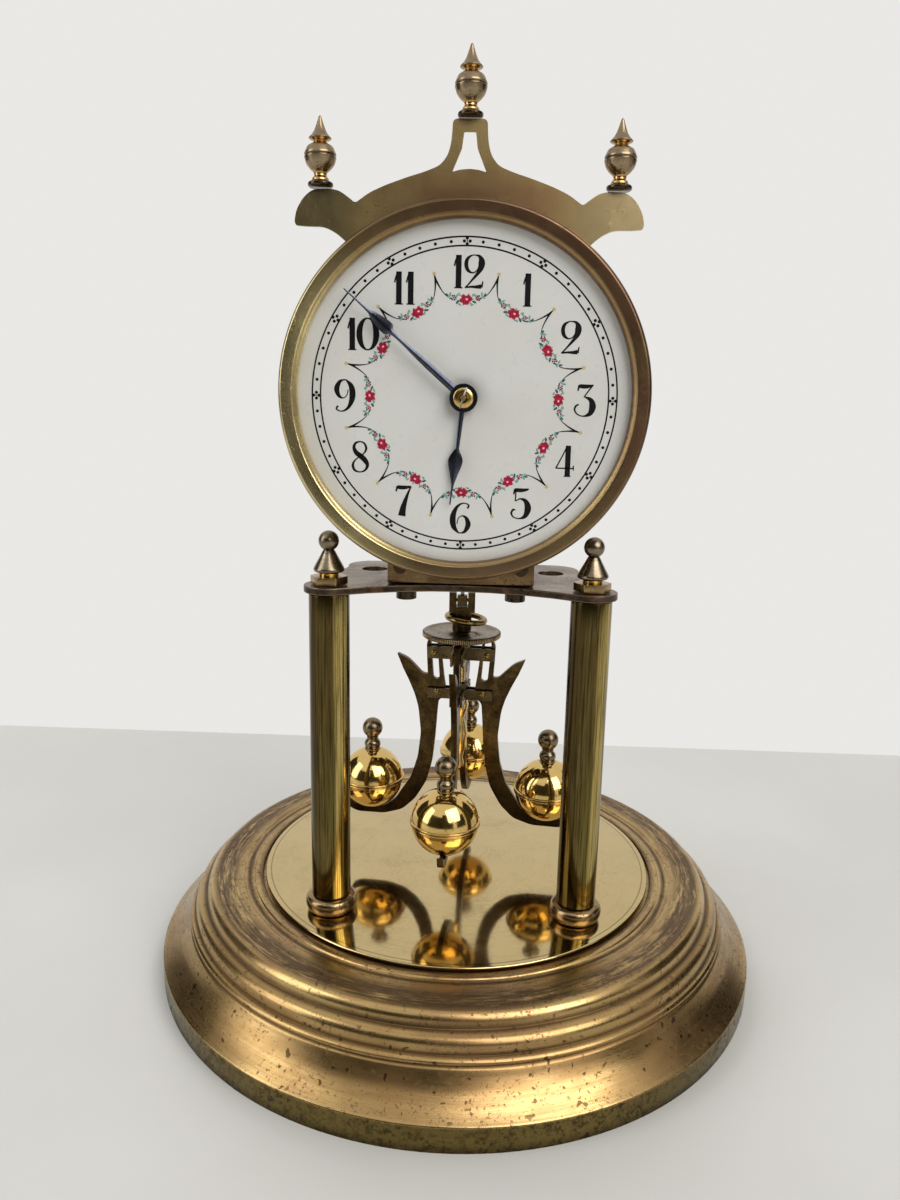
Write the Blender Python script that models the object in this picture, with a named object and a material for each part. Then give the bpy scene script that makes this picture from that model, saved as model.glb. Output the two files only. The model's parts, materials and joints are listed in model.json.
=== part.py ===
"""An anniversary clock: a torsion pendulum with four balls under a small brass movement.

Metres, +Z up, the front towards -Y. The origin is the centre of the base's foot ring, on the surface
that the clock stands on. The pendulum hangs on the vertical line through the origin. Depth is counted
towards the viewer, so a depth of 40 mm lies at y = -40 mm.
"""

import math

import bmesh
import bpy
from mathutils import Matrix, Vector

MM = 0.001

# Clearance between pieces that touch, seat or turn in each other
FIT_GAP = 0.3 * MM
# How far a cutter runs past the wall it cuts, and how deep joined pieces sink into each other
CUT_OVERRUN = 1.0 * MM
JOIN_DEPTH = 0.25 * MM
# Points closer than this are one point
WELD = 0.001 * MM

# Base
BASE_RADIUS = 97.5 * MM
BASE_HEIGHT = 28.2 * MM
SHELL_WALL = 1.3 * MM
RECESS_SHARE = 0.66667
RECESS_DEPTH = 1.2 * MM
DISC_THICKNESS = 1.6 * MM
DISC_EDGE = 0.45 * MM

# Pillars, their feet and their bolts
PILLAR_X = 37.3 * MM
PILLAR_DEPTH = 35.7 * MM
PILLAR_RADIUS = 5.85 * MM
PILLAR_BORE = 4.6 * MM
PILLAR_LENGTH = 93.6 * MM
COLLAR_RADIUS = 7.8 * MM
COLLAR_HEIGHT = 4.8 * MM
TIE_RADIUS = 1.6 * MM
TIE_HEAD_RADIUS = 3.4 * MM
TIE_HEAD_HEIGHT = 3.0 * MM
TIE_GRIP = 5.2 * MM
NUT_CORNER_RADIUS = 5.4 * MM
NUT_HEIGHT = 2.2 * MM
CONE_RADIUS = 4.45 * MM
CONE_HEIGHT = 7.1 * MM
KNOB_BALL_RADIUS = 2.9 * MM

# Platform on the pillars
PLATFORM_THICKNESS = 2.0 * MM
FRONT_LOBE_RADIUS = 7.2 * MM
REAR_LOBE_RADIUS = 8.2 * MM
REAR_LOBE_X = 28.5 * MM
REAR_EDGE_Y = 6.2 * MM
PLATFORM_HOLE_X = 27.5 * MM
PLATFORM_HOLE_DEPTH = 8.8 * MM
PLATFORM_HOLE_RADIUS = 4.0 * MM
PLATFORM_FRONT_DEPTH = 32.1 * MM
NOTCH_HALF_WIDTH = 9.0 * MM
NOTCH_DEPTH = 9.0 * MM
PLATFORM_WAIST = 2.0 * MM

# Bracket that carries the movement
SEAT_HALF_WIDTH = 21.0 * MM
SEAT_SHEET = 1.2 * MM
SEAT_UPRIGHT = 10.5 * MM
SEAT_STUD_X = 16.4 * MM
SEAT_STUD_RADIUS = 1.5 * MM
SEAT_STUD_RISE = 3.6 * MM
SEAT_STUD_HEAD = 0.9 * MM
SEAT_SCREW_X = 16.0 * MM
SEAT_SCREW_SETBACK = 2.6 * MM
SEAT_SCREW_RADIUS = 1.5 * MM
SEAT_SCREW_HEAD_RADIUS = 3.0 * MM
SEAT_SCREW_HEAD = 3.0 * MM
SEAT_SCREW_REACH = 0.9 * MM

# Movement plates and the pillars between them
MOVE_RISE = 52.4 * MM
PLATE_THICKNESS = 1.6 * MM
BACK_PLATE_DEPTH = 7.4 * MM
FRONT_PLATE_DEPTH = 29.1 * MM
PLATE_HALF_WIDTH = 30.0 * MM
PLATE_FOOT_HALF_WIDTH = 20.4 * MM
PLATE_FOOT_HEIGHT = 9.0 * MM
PLATE_FLARE_HEIGHT = 6.0 * MM
PLATE_LIFT = 1.3 * MM
PLATE_TOP_RISE = 34.4 * MM
PLATE_CORNER = 9.0 * MM
POST_RADIUS = 2.2 * MM
POST_STUD_RADIUS = 1.1 * MM
LOW_POST_X = 19.0 * MM
LOW_POST_RISE = 2.4 * MM
HIGH_POST_X = 24.0 * MM
HIGH_POST_DROP = 4.5 * MM
ARBOR_RADIUS = 0.9 * MM
PIVOT_RADIUS = 0.6 * MM

# Going train: places, centre distances and tooth counts
BARREL_X = -7.5 * MM
BARREL_DROP = 29.0 * MM
FIRST_CENTRES = 20.475 * MM
SECOND_CENTRES = 12.9 * MM
THIRD_CENTRES = 12.2 * MM
INTERMEDIATE_LEAN = math.radians(60)
THIRD_X = -6.4 * MM
THIRD_RISE = 11.03 * MM
ESCAPE_RISE = 20.02 * MM
ANCHOR_RISE = 29.3 * MM
GREAT_TEETH = 64
INTERMEDIATE_LEAVES = 8
INTERMEDIATE_TEETH = 60
SECOND_LEAVES = 6
SECOND_TEETH = 72
CENTRE_LEAVES = 6
CENTRE_TEETH = 48
THIRD_LEAVES = 12
THIRD_TEETH = 36
ESCAPE_LEAVES = 12
ESCAPE_TEETH = 20
ESCAPE_RADIUS = 7.6 * MM
ESCAPE_TOOTH = 1.5 * MM

# Going train: depths of the wheels as shares of the room between the plates
WHEEL_THICKNESS = 1.0 * MM
PINION_OVERLAP = 0.7 * MM
GREAT_WHEEL_SHARE = 0.1095
GREAT_WHEEL_THICKNESS = 1.4 * MM
WHEEL_PLATE_GAP = 0.4 * MM
SECOND_WHEEL_SHARE = 0.6219
CENTRE_WHEEL_SHARE = 0.398
THIRD_WHEEL_SHARE = 0.1741
ESCAPE_WHEEL_SHARE = 0.607
WHEEL_RIM = 1.7 * MM
WHEEL_HUB = 2.2 * MM
SPOKE_WIDTH = 1.2 * MM
SPOKES = 4

# Barrel, mainspring and winding
DRUM_RADIUS = 16.5 * MM
DRUM_WALL = 0.9 * MM
DRUM_WHEEL_GAP = 0.6 * MM
COVER_THICKNESS = 1.0 * MM
WINDING_RADIUS = 2.4 * MM
WINDING_PIVOT_RADIUS = 1.5 * MM
WINDING_SQUARE_RADIUS = 1.9 * MM
WINDING_END_Y = 1.5 * MM
SPRING_STRIP = 0.45 * MM
SPRING_TURNS = 4
RATCHET_RADIUS = 7.8 * MM
RATCHET_TOOTH = 1.1 * MM
RATCHET_TEETH = 16
RATCHET_RAKE = math.radians(2)
RATCHET_THICKNESS = 1.3 * MM
CLICK_REACH = 12.6 * MM
CLICK_ANGLE = math.radians(48)
CLICK_TIP_ANGLE = math.radians(86)
CLICK_LENGTH = 8.6 * MM
CLICK_EYE_RADIUS = 2.0 * MM
CLICK_STUD_RADIUS = 1.0 * MM
CLICK_TAIL = 0.6 * MM

# Anchor and fork
ANCHOR_HUB_RADIUS = 1.25 * MM
ANCHOR_SPAN = 6.2 * MM
PALLET_DROP = 2.6 * MM
PALLET_THICKNESS = 1.6 * MM
ANCHOR_TAIL_DEPTH = 4.6 * MM
ANCHOR_TAIL_RADIUS = 2.0 * MM
ANCHOR_TAIL_LENGTH = 1.8 * MM
ANCHOR_PIN_RADIUS = 0.5 * MM
ANCHOR_PIN_TOP = 14.1 * MM
FORK_RISE = 39.9 * MM
FORK_REACH = 8.0 * MM
FORK_TINE = 0.8 * MM
FORK_HALF_WIDTH = 1.8 * MM
FORK_HALF_DEPTH = 1.4 * MM
FORK_HEIGHT = 2.2 * MM
FORK_TINE_HEIGHT = 1.0 * MM

# Motion work behind the dial, and the hands' pipes
MOTION_CENTRES = 12.0 * MM
CANNON_LEAVES = 12
MINUTE_TEETH = 36
MINUTE_LEAVES = 10
HOUR_TEETH = 40
CANNON_GAP = 2.8 * MM
CANNON_LENGTH = 2.0 * MM
MINUTE_WHEEL_GAP = 3.3 * MM
HOUR_WHEEL_GAP = 6.8 * MM
MINUTE_PINION_REACH = 8.3 * MM
CENTRE_PIPE_RADIUS = 0.8 * MM
CANNON_PIPE_WALL = 0.5 * MM
HOUR_PIPE_WALL = 0.7 * MM
STUD_RADIUS = 0.8 * MM

# Dial, bezel and hands
DIAL_GAP = 10.5 * MM
DIAL_THICKNESS = 0.8 * MM
DIAL_RADIUS = 46.6 * MM
DIAL_FOOT_RADIUS = 1.2 * MM
DIAL_FOOT_X = 22.0 * MM
DIAL_FOOT_RISE = 22.0 * MM
DIAL_LOW_FOOT = 30.0 * MM
BEZEL_RISE = 0.4 * MM
BEZEL_RADIUS = 48.9 * MM
BEZEL_SIGHT_RADIUS = 44.0 * MM
BEZEL_SKIRT = 2.9 * MM
BEZEL_PROUD = 4.8 * MM
HOUR_HAND_LENGTH = 28.3 * MM
MINUTE_HAND_LENGTH = 41.2 * MM
HOUR_HAND_ANGLE = math.radians(186.2)
MINUTE_HAND_ANGLE = math.radians(310.6)
HAND_HUB_RADIUS = 3.7 * MM
HOUR_HAND_GAP = 1.2 * MM
MINUTE_HAND_STEP = 1.7 * MM
HAND_THICKNESS = 0.5 * MM
WASHER_RADIUS = 2.65 * MM
WASHER_THICKNESS = 0.6 * MM
CENTRE_TIP_STEP = 2.6 * MM
HAND_PIN_RADIUS = 0.3 * MM
HAND_PIN_LENGTH = 5.6 * MM

# Crest and its finials
CREST_THICKNESS = 1.0 * MM
CREST_TOWER_RISE = 69.1 * MM
CREST_EAR_X = 38.4 * MM
CREST_EAR_RISE = 52.2 * MM
CREST_HIDDEN_RADIUS = 44.5 * MM
CREST_FINIAL_HEIGHT = 17.2 * MM
CREST_FINIAL_RADIUS = 4.15 * MM

# Suspension
STRIP_HALF_WIDTH = 0.6 * MM
STRIP_HALF_THICKNESS = 0.1 * MM
STRIP_GRIP = 2.0 * MM
TOP_BLOCK_RISE = 48.4 * MM
TOP_BLOCK_HEIGHT = 4.5 * MM
TOP_BLOCK_HALF_WIDTH = 2.3 * MM
TOP_BLOCK_HALF_DEPTH = 1.6 * MM
BLOCK_PIN_RADIUS = 0.6 * MM
BRACKET_SHEET = 1.5 * MM
BRACKET_HALF_WIDTH = 9.0 * MM
BRACKET_LEG_WIDTH = 4.0 * MM
BRACKET_FOOT_RISE = 23.4 * MM
BRACKET_HEAD_RISE = 46.4 * MM
BRACKET_TOP_RISE = 53.6 * MM
BRACKET_CHEEK = 1.8 * MM
BRACKET_BACK_Y = 2.6 * MM
BRACKET_RIVET_RADIUS = 1.0 * MM
BRACKET_RIVET_HEAD_RADIUS = 1.7 * MM
BRACKET_RIVET_RISE = 26.9 * MM

# Pendulum head: hook, ring and rating disc
HOOK_TOP_Z = 122.0 * MM
HOOK_BLOCK_Z = 115.4 * MM
HOOK_HALF_WIDTH = 4.15 * MM
HOOK_HALF_DEPTH = 2.8 * MM
HOOK_SLOT_Z = 117.0 * MM
STEM_RADIUS = 3.1 * MM
STEM_FOOT_Z = 109.2 * MM
RING_RADIUS = 6.2 * MM
RING_WIRE = 0.725 * MM
RING_Z = 113.0 * MM
RING_SHIFT = 1.3 * MM
RING_TILT = math.radians(6.6)
RING_LUG_ANGLE = math.radians(128)
RING_LUG_HALF = 1.9 * MM
RING_LUG_THICKNESS = 1.5 * MM
RATING_DISC_RADIUS = 12.8 * MM
RATING_DISC_THICKNESS = 1.9 * MM
SLEEVE_RADIUS = 1.55 * MM
ROD_RADIUS = 0.8 * MM
SLEEVE_FOOT_Z = 91.6 * MM
BLOCK_HALF_WIDTH = 1.6 * MM
BLOCK_HALF_DEPTH = 1.3 * MM
BLOCK_HEIGHT = 3.4 * MM
BLOCK_PIN_RISE = 1.8 * MM
BLOCK_PIN_HALF_LENGTH = 3.5 * MM

# Pendulum crosses, arms and balls
PENDULUM_TURN = math.radians(-6.0)
ARM_COUNT = 4
ARM_THICKNESS = 2.0 * MM
CHEEK_THICKNESS = 0.8 * MM
CHEEK_GAP = 0.3 * MM
CROSS_PIN_RADIUS = 0.75 * MM
UPPER_CROSS_Z = 99.4 * MM
UPPER_CROSS_HEIGHT = 4.1 * MM
UPPER_CROSS_REACH = 11.0 * MM
UPPER_PIN_REACH = 8.7 * MM
UPPER_PIN_Z = 101.3 * MM
UPPER_HUB_RADIUS = 3.0 * MM
LOWER_CROSS_Z = 85.9 * MM
LOWER_CROSS_HEIGHT = 3.4 * MM
LOWER_CROSS_REACH = 10.8 * MM
LOWER_PIN_REACH = 7.5 * MM
LOWER_PIN_Z = 88.2 * MM
LOWER_HUB_RADIUS = 2.6 * MM
LOWER_HUB_TOP_Z = 91.2 * MM
BALUSTER_TOP_Z = 85.6 * MM
BALUSTER_FOOT_Z = 61.0 * MM
BALUSTER_RADIUS = 2.9 * MM
BALL_ORBIT = 29.7 * MM
BALL_RADIUS = 10.4 * MM
BALL_LIP = 0.4 * MM
BALL_Z = 55.7 * MM
BALL_KNOB_RADIUS = 3.4 * MM
BALL_KNOB_Z = 73.3 * MM
BALL_SEAT_FLAT = 4.4 * MM

# Heights and places that follow from the sizes above
RECESS_RADIUS = RECESS_SHARE * BASE_RADIUS
RECESS_Z = BASE_HEIGHT - RECESS_DEPTH
DISC_Z = RECESS_Z + FIT_GAP
DISC_TOP_Z = DISC_Z + DISC_THICKNESS
DISC_RADIUS = RECESS_RADIUS - 2 * FIT_GAP
COLLAR_Z = DISC_TOP_Z + FIT_GAP
PILLAR_Z = COLLAR_Z + COLLAR_HEIGHT + FIT_GAP
PLATFORM_Z = PILLAR_Z + PILLAR_LENGTH + FIT_GAP
PLATFORM_TOP_Z = PLATFORM_Z + PLATFORM_THICKNESS
MOVE_Z = PLATFORM_TOP_Z + MOVE_RISE
PLATE_TOP_Z = MOVE_Z + PLATE_TOP_RISE
FORK_Z = MOVE_Z + FORK_RISE
CREST_TOWER_Z = MOVE_Z + CREST_TOWER_RISE
CREST_EAR_Z = MOVE_Z + CREST_EAR_RISE
TOP_BLOCK_Z = MOVE_Z + TOP_BLOCK_RISE
BRACKET_FOOT_Z = MOVE_Z + BRACKET_FOOT_RISE
BRACKET_HEAD_Z = MOVE_Z + BRACKET_HEAD_RISE
BRACKET_TOP_Z = MOVE_Z + BRACKET_TOP_RISE
BRACKET_RIVET_Z = MOVE_Z + BRACKET_RIVET_RISE
NUT_Z = PLATFORM_TOP_Z + FIT_GAP
TIE_TOP_Z = NUT_Z + TIE_GRIP
SEAT_Z = PLATFORM_TOP_Z + FIT_GAP
SEAT_TOP_Z = SEAT_Z + SEAT_SHEET
PLATE_FOOT_Z = SEAT_TOP_Z + PLATE_LIFT
LOW_POST_Z = PLATE_FOOT_Z + LOW_POST_RISE
HIGH_POST_Z = PLATE_TOP_Z - HIGH_POST_DROP
BACK_PLATE_FRONT = BACK_PLATE_DEPTH + PLATE_THICKNESS
FRONT_PLATE_FRONT = FRONT_PLATE_DEPTH + PLATE_THICKNESS
PLATE_ROOM = FRONT_PLATE_DEPTH - BACK_PLATE_FRONT
SEAT_SCREW_DEPTH = FRONT_PLATE_DEPTH - SEAT_SCREW_SETBACK
GREAT_WHEEL_DEPTH = BACK_PLATE_FRONT + GREAT_WHEEL_SHARE * PLATE_ROOM
SECOND_WHEEL_DEPTH = BACK_PLATE_FRONT + SECOND_WHEEL_SHARE * PLATE_ROOM
CENTRE_WHEEL_DEPTH = BACK_PLATE_FRONT + CENTRE_WHEEL_SHARE * PLATE_ROOM
THIRD_WHEEL_DEPTH = BACK_PLATE_FRONT + THIRD_WHEEL_SHARE * PLATE_ROOM
ESCAPE_WHEEL_DEPTH = BACK_PLATE_FRONT + ESCAPE_WHEEL_SHARE * PLATE_ROOM
INTERMEDIATE_WHEEL_DEPTH = FRONT_PLATE_DEPTH - WHEEL_THICKNESS - PINION_OVERLAP - WHEEL_PLATE_GAP
DRUM_FRONT_DEPTH = INTERMEDIATE_WHEEL_DEPTH - DRUM_WHEEL_GAP
CANNON_DEPTH = FRONT_PLATE_FRONT + CANNON_GAP
MINUTE_WHEEL_DEPTH = FRONT_PLATE_FRONT + MINUTE_WHEEL_GAP
HOUR_WHEEL_DEPTH = FRONT_PLATE_FRONT + HOUR_WHEEL_GAP
MINUTE_PINION_FRONT = FRONT_PLATE_FRONT + MINUTE_PINION_REACH
BEZEL_Z = MOVE_Z + BEZEL_RISE
DIAL_DEPTH = FRONT_PLATE_FRONT + DIAL_GAP
DIAL_FRONT = DIAL_DEPTH + DIAL_THICKNESS
BEZEL_BACK_DEPTH = DIAL_DEPTH - BEZEL_SKIRT
BEZEL_FRONT_DEPTH = DIAL_DEPTH + BEZEL_PROUD
CREST_DEPTH = BEZEL_BACK_DEPTH - CREST_THICKNESS - FIT_GAP
HOUR_HAND_DEPTH = DIAL_FRONT + HOUR_HAND_GAP
MINUTE_HAND_DEPTH = HOUR_HAND_DEPTH + MINUTE_HAND_STEP
CENTRE_TIP_DEPTH = MINUTE_HAND_DEPTH + CENTRE_TIP_STEP
UPPER_PIN_RISE = UPPER_PIN_Z - UPPER_CROSS_Z
LOWER_PIN_RISE = LOWER_PIN_Z - LOWER_CROSS_Z
DISC_FOOT_Z = STEM_FOOT_Z - FIT_GAP - RATING_DISC_THICKNESS
BLOCK_Z = HOOK_SLOT_Z + FIT_GAP

# Round pieces by size: the number of sides
FINE_SIDES = 32
MIDDLE_SIDES = 16
SMALL_SIDES = 8
TINY_SIDES = 6
BALL_SIDES = 12
CREST_ARC_STEPS = 6
SPIRAL_STEPS = 10

# Tooth shapes as shares of a wheel's module or of a pinion's pitch angle
WHEEL_TIP_SHARE = 0.5
WHEEL_ROOT_SHARE = 1.0
PINION_TIP_SHARE = 0.4
PINION_ROOT_SHARE = 1.1
LEAF_TIP_SHARE = 0.07
LEAF_ROOT_SHARE = 0.16

# The base's outer profile from the foot ring to the recess, as shares of its radius and height
BASE_OUTER_SHARES = (
    (1.0, 0.0), (1.0, 0.255), (0.993, 0.28), (0.967, 0.345), (0.938, 0.445), (0.9215, 0.535),
    (0.910, 0.61), (0.9035, 0.625), (0.910, 0.650), (0.9075, 0.69), (0.8995, 0.72), (0.8915, 0.73),
    (0.8872, 0.735), (0.8855, 0.745), (0.884, 0.81), (0.877, 0.84), (0.8635, 0.862), (0.8554, 0.872),
    (0.852, 0.895), (0.846, 0.945), (0.835, 0.983), (0.8195, 1.0), (0.682, 1.0),
)
# The hollow's profile from its roof to the foot ring, as shares of the radius and height
BASE_HOLLOW_SHARES = ((0.815, 0.94), (0.862, 0.82), (0.893, 0.56), (0.985, 0.24), (0.985, 0.0))
COLLAR_SHARES = (
    (0.949, 0.0), (0.949, 0.15), (0.90, 0.21), (0.965, 0.37), (1.0, 0.62), (0.955, 0.84), (0.795, 1.0),
)
# Cone and ball of a pillar's finial: shares of the cone's radius and height, from the nut up
FINIAL_CONE_SHARES = (
    (0.64, -0.06), (0.64, 0.06), (0.93, 0.10), (1.0, 0.22), (0.93, 0.38), (0.71, 0.68), (0.48, 0.93),
)
BALL_STEPS = 5
# A crest finial from washer to tip, as shares of its largest radius and of its height
CREST_FINIAL_SHARES = (
    (0.70, 0.0), (0.80, 0.05), (0.62, 0.10), (0.42, 0.135), (0.50, 0.20), (0.82, 0.29), (1.0, 0.40),
    (0.97, 0.48), (0.78, 0.57), (0.46, 0.615), (0.42, 0.655), (0.71, 0.685), (0.45, 0.76), (0.20, 0.88),
    (0.10, 0.985), (0.0, 1.0),
)
BALUSTER_SHARES = (
    (0.80, 1.0), (1.0, 0.93), (0.90, 0.86), (0.62, 0.78), (0.55, 0.72), (0.85, 0.60), (0.95, 0.50),
    (0.70, 0.30), (0.45, 0.16), (0.62, 0.10), (0.55, 0.03), (0.0, 0.0),
)
# A ball's knob from the neck up: shares of the knob's radius and of its height above the ball's centre
KNOB_SHARES = ((0.53, 0.53), (0.53, 0.56), (0.70, 0.60), (0.82, 0.665), (0.76, 0.73), (0.53, 0.78))
# The bezel's front from its rim to its sight edge, as shares of its width and of its depth
BEZEL_FACE_SHARES = ((1.0, 0.84), (0.918, 0.95), (0.816, 1.0), (0.224, 0.97), (0.143, 0.88), (0.0, 0.8))
# Widths of a hand as shares of its hub's radius, at shares of its length
MINUTE_HAND_SHARES = (
    (0.27, 0.0), (0.25, 0.30), (0.14, 0.575), (0.47, 0.64), (0.30, 0.75), (0.11, 0.81), (0.055, 1.0),
)
HOUR_HAND_SHARES = (
    (0.19, 0.0), (0.15, 0.42), (0.15, 0.47), (0.52, 0.58), (0.27, 0.72), (0.09, 0.83), (0.05, 1.0),
)
# Half of the crest's outline above the bezel: shares of the ear's distance and of the height above the dial
CREST_HALF_SHARES = (
    (0.115, 1.0), (0.118, 0.955), (0.125, 0.915), (0.145, 0.875), (0.195, 0.84), (0.30, 0.817),
    (0.41, 0.799), (0.56, 0.770), (0.67, 0.743), (0.765, 0.706), (0.80, 0.722), (0.87, 0.748), (0.93, 0.755),
    (1.05, 0.753), (1.115, 0.725), (1.165, 0.68), (1.178, 0.64), (1.17, 0.625), (1.10, 0.622), (0.974, 0.621),
    (0.89, 0.598), (0.80, 0.555),
)
CREST_SLOT_SHARES = (
    (0.039, 0.957), (0.052, 0.90), (0.115, 0.82), (-0.115, 0.82), (-0.052, 0.90), (-0.039, 0.957),
)
# An arm's outline: shares of the ball's orbit and of the height of the arm's pivot above the ball's centre
ARM_SHARES = (
    (0.714, 1.369), (0.605, 1.328), (0.542, 1.280), (0.428, 1.172), (0.364, 1.163), (0.375, 1.330),
    (0.381, 1.480), (0.372, 1.522), (0.340, 1.548), (0.300, 1.552), (0.262, 1.542), (0.232, 1.505),
    (0.189, 1.172), (0.175, 1.092), (0.151, 0.948), (0.242, 0.902), (0.253, 0.797), (0.276, 0.471),
    (0.306, 0.222), (0.364, 0.003), (0.492, -0.200), (0.640, -0.332), (0.852, -0.394), (1.168, -0.397),
    (1.270, -0.355), (1.315, -0.255), (1.29, -0.245),
    (1.22, -0.300), (1.13, -0.322), (0.870, -0.322), (0.798, -0.277), (0.720, -0.220),
    (0.667, -0.138), (0.542, 0.043),
    (0.465, 0.277), (0.434, 0.542), (0.465, 0.803), (0.505, 0.938), (0.572, 1.083), (0.646, 1.218),
)
ARM_SLOT_SHARES = ((0.2694, 1.155), (0.300, 1.515))
ARM_SLOT_HALF_WIDTH = 1.1 * MM
# Half of the anchor's outline, as shares of its span and of its drop
ANCHOR_SHARES = (
    (0.30, 0.28), (0.90, -0.20), (1.0, -0.62), (0.87, -1.0), (0.77, -0.90), (0.74, -0.54), (0.30, -0.25),
)


def polar(radius, angle):
    """The point at this radius and angle."""
    return (radius * math.cos(angle), radius * math.sin(angle))


def bearing(radius, angle):
    """The point at this radius, with the angle counted clockwise from the top as on a dial."""
    return (radius * math.sin(angle), radius * math.cos(angle))


def circle(radius, sides, centre=(0.0, 0.0), start=0.0):
    """The corners of a regular polygon."""
    corners = [polar(radius, start + math.tau * k / sides) for k in range(sides)]
    return [(x + centre[0], y + centre[1]) for x, y in corners]


def arc(centre, radius, start, end, steps):
    """Points along a circular arc, both ends included."""
    turns = [start + (end - start) * k / steps for k in range(steps + 1)]
    return [(centre[0] + radius * math.cos(t), centre[1] + radius * math.sin(t)) for t in turns]


def crossing(first, first_radius, second, second_radius):
    """Where two circles meet, on the left when looking from the first centre to the second one."""
    a, b = Vector(first), Vector(second)
    gap = (b - a).length
    along = (first_radius**2 - second_radius**2 + gap**2) / (2 * gap)
    aside = math.sqrt(first_radius**2 - along**2)
    way = (b - a).normalized()
    return tuple(a + way * along + Vector((-way.y, way.x)) * aside)


def scaled(table, width, height, base=0.0):
    """A table of shares as points of this width and height."""
    return [(u * width, base + v * height) for u, v in table]


def finished(bm, name):
    """The mesh of a bmesh whose faces are turned outwards."""
    bmesh.ops.remove_doubles(bm, verts=bm.verts, dist=WELD)
    bmesh.ops.recalc_face_normals(bm, faces=bm.faces)
    mesh = bpy.data.meshes.new(name)
    bm.to_mesh(mesh)
    bm.free()
    return mesh


def turned(profile, sides):
    """A closed profile of (radius, height) points turned about Z."""
    bm = bmesh.new()
    corners = [bm.verts.new((r, 0.0, z)) for r, z in profile]
    edges = []
    for here, there in zip(corners, corners[1:] + corners[:1]):
        if here.co.x > 0 or there.co.x > 0:
            edges.append(bm.edges.new((here, there)))
    bmesh.ops.spin(bm, geom=edges, cent=(0, 0, 0), axis=(0, 0, 1), angle=math.tau, steps=sides)
    return finished(bm, "turned")


def flat(outline, low, high, holes=()):
    """A flat piece with this outline and these holes, between two heights."""
    bm = bmesh.new()
    edges = []
    for loop in (outline, *holes):
        corners = [bm.verts.new((x, y, low)) for x, y in loop]
        edges += [bm.edges.new(pair) for pair in zip(corners, corners[1:] + corners[:1])]
    bmesh.ops.triangle_fill(bm, edges=edges, use_beauty=True)
    made = bmesh.ops.extrude_face_region(bm, geom=bm.faces[:])["geom"]
    moved = [item for item in made if isinstance(item, bmesh.types.BMVert)]
    bmesh.ops.translate(bm, verts=moved, vec=(0.0, 0.0, high - low))
    return finished(bm, "flat")


def box(low, high):
    """A box between two corners."""
    outline = ((low[0], low[1]), (high[0], low[1]), (high[0], high[1]), (low[0], high[1]))
    return flat(outline, low[2], high[2])


def rod(radius, low, high, sides=SMALL_SIDES, centre=(0.0, 0.0), start=0.0):
    """An upright bar between two heights."""
    return flat(circle(radius, sides, centre, start), low, high)


def placed(mesh, turn=None, shift=(0.0, 0.0, 0.0)):
    """The mesh after a turn and then a shift."""
    if turn is not None:
        mesh.transform(turn.to_4x4())
    mesh.transform(Matrix.Translation(shift))
    return mesh


def turn_about(axis, angle):
    """A rotation matrix about one of the axes X, Y and Z."""
    return Matrix.Rotation(angle, 4, axis)


FACING = turn_about("X", math.pi / 2)


def facing(mesh):
    """A flat mesh stood up, so that its height becomes depth towards the viewer."""
    return placed(mesh, FACING)


def combined(operation, first, *others):
    """The first mesh joined with or cut by the others, with exact Booleans."""
    stage = bpy.context.scene.collection
    base = bpy.data.objects.new("base", first)
    stage.objects.link(base)
    tools = []
    for mesh in others:
        tool = bpy.data.objects.new("tool", mesh)
        stage.objects.link(tool)
        tools.append(tool)
        modifier = base.modifiers.new("combine", "BOOLEAN")
        modifier.operation = operation
        modifier.solver = "EXACT"
        modifier.object = tool
    depsgraph = bpy.context.evaluated_depsgraph_get()
    result = bpy.data.meshes.new_from_object(base.evaluated_get(depsgraph))
    for item in (base, *tools):
        bpy.data.objects.remove(item)
    return result


def joined(first, *others):
    """The meshes as one solid."""
    return combined("UNION", first, *others)


def cut(first, *others):
    """The first mesh less the others."""
    return combined("DIFFERENCE", first, *others)


def finish(name, colour, roughness, metallic=1.0):
    """A plain material with this colour, roughness and metallic value."""
    material = bpy.data.materials.get(name) or bpy.data.materials.new(name)
    material.use_nodes = True
    shader = material.node_tree.nodes["Principled BSDF"]
    shader.inputs["Base Color"].default_value = (*colour, 1.0)
    shader.inputs["Roughness"].default_value = roughness
    shader.inputs["Metallic"].default_value = metallic
    return material


def aged_brass():
    return finish("aged_brass", (0.32, 0.22, 0.11), 0.35)


def polished_brass():
    return finish("polished_brass", (0.78, 0.58, 0.26), 0.15)


def movement_brass():
    return finish("movement_brass", (0.62, 0.46, 0.20), 0.30)


def dull_nickel():
    return finish("dull_nickel", (0.42, 0.38, 0.32), 0.30)


def dark_bronze():
    return finish("dark_bronze", (0.13, 0.09, 0.05), 0.40)


def steel():
    return finish("steel", (0.55, 0.55, 0.57), 0.25)


def blued_steel():
    return finish("blued_steel", (0.02, 0.02, 0.03), 0.25)


def enamel():
    return finish("enamel", (0.70, 0.70, 0.68), 0.20, 0.0)


def add(name, mesh, material, place=(0.0, 0.0, 0.0), turn=None):
    """One named object, smooth where it is round, with its origin at this place."""
    mesh.name = name
    mesh.materials.clear()
    mesh.materials.append(material)
    mesh.shade_smooth()
    mesh.set_sharp_from_angle(angle=math.radians(35))
    item = bpy.data.objects.new(name, mesh)
    bpy.context.scene.collection.objects.link(item)
    item.location = place
    if turn is not None:
        item.rotation_euler = turn.to_euler()
    return item


def post_places():
    """The four pillars between the movement plates, as (x, z)."""
    right = ((LOW_POST_X, LOW_POST_Z), (HIGH_POST_X, HIGH_POST_Z))
    return [(side * x, z) for side in (-1, 1) for x, z in right]


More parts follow.
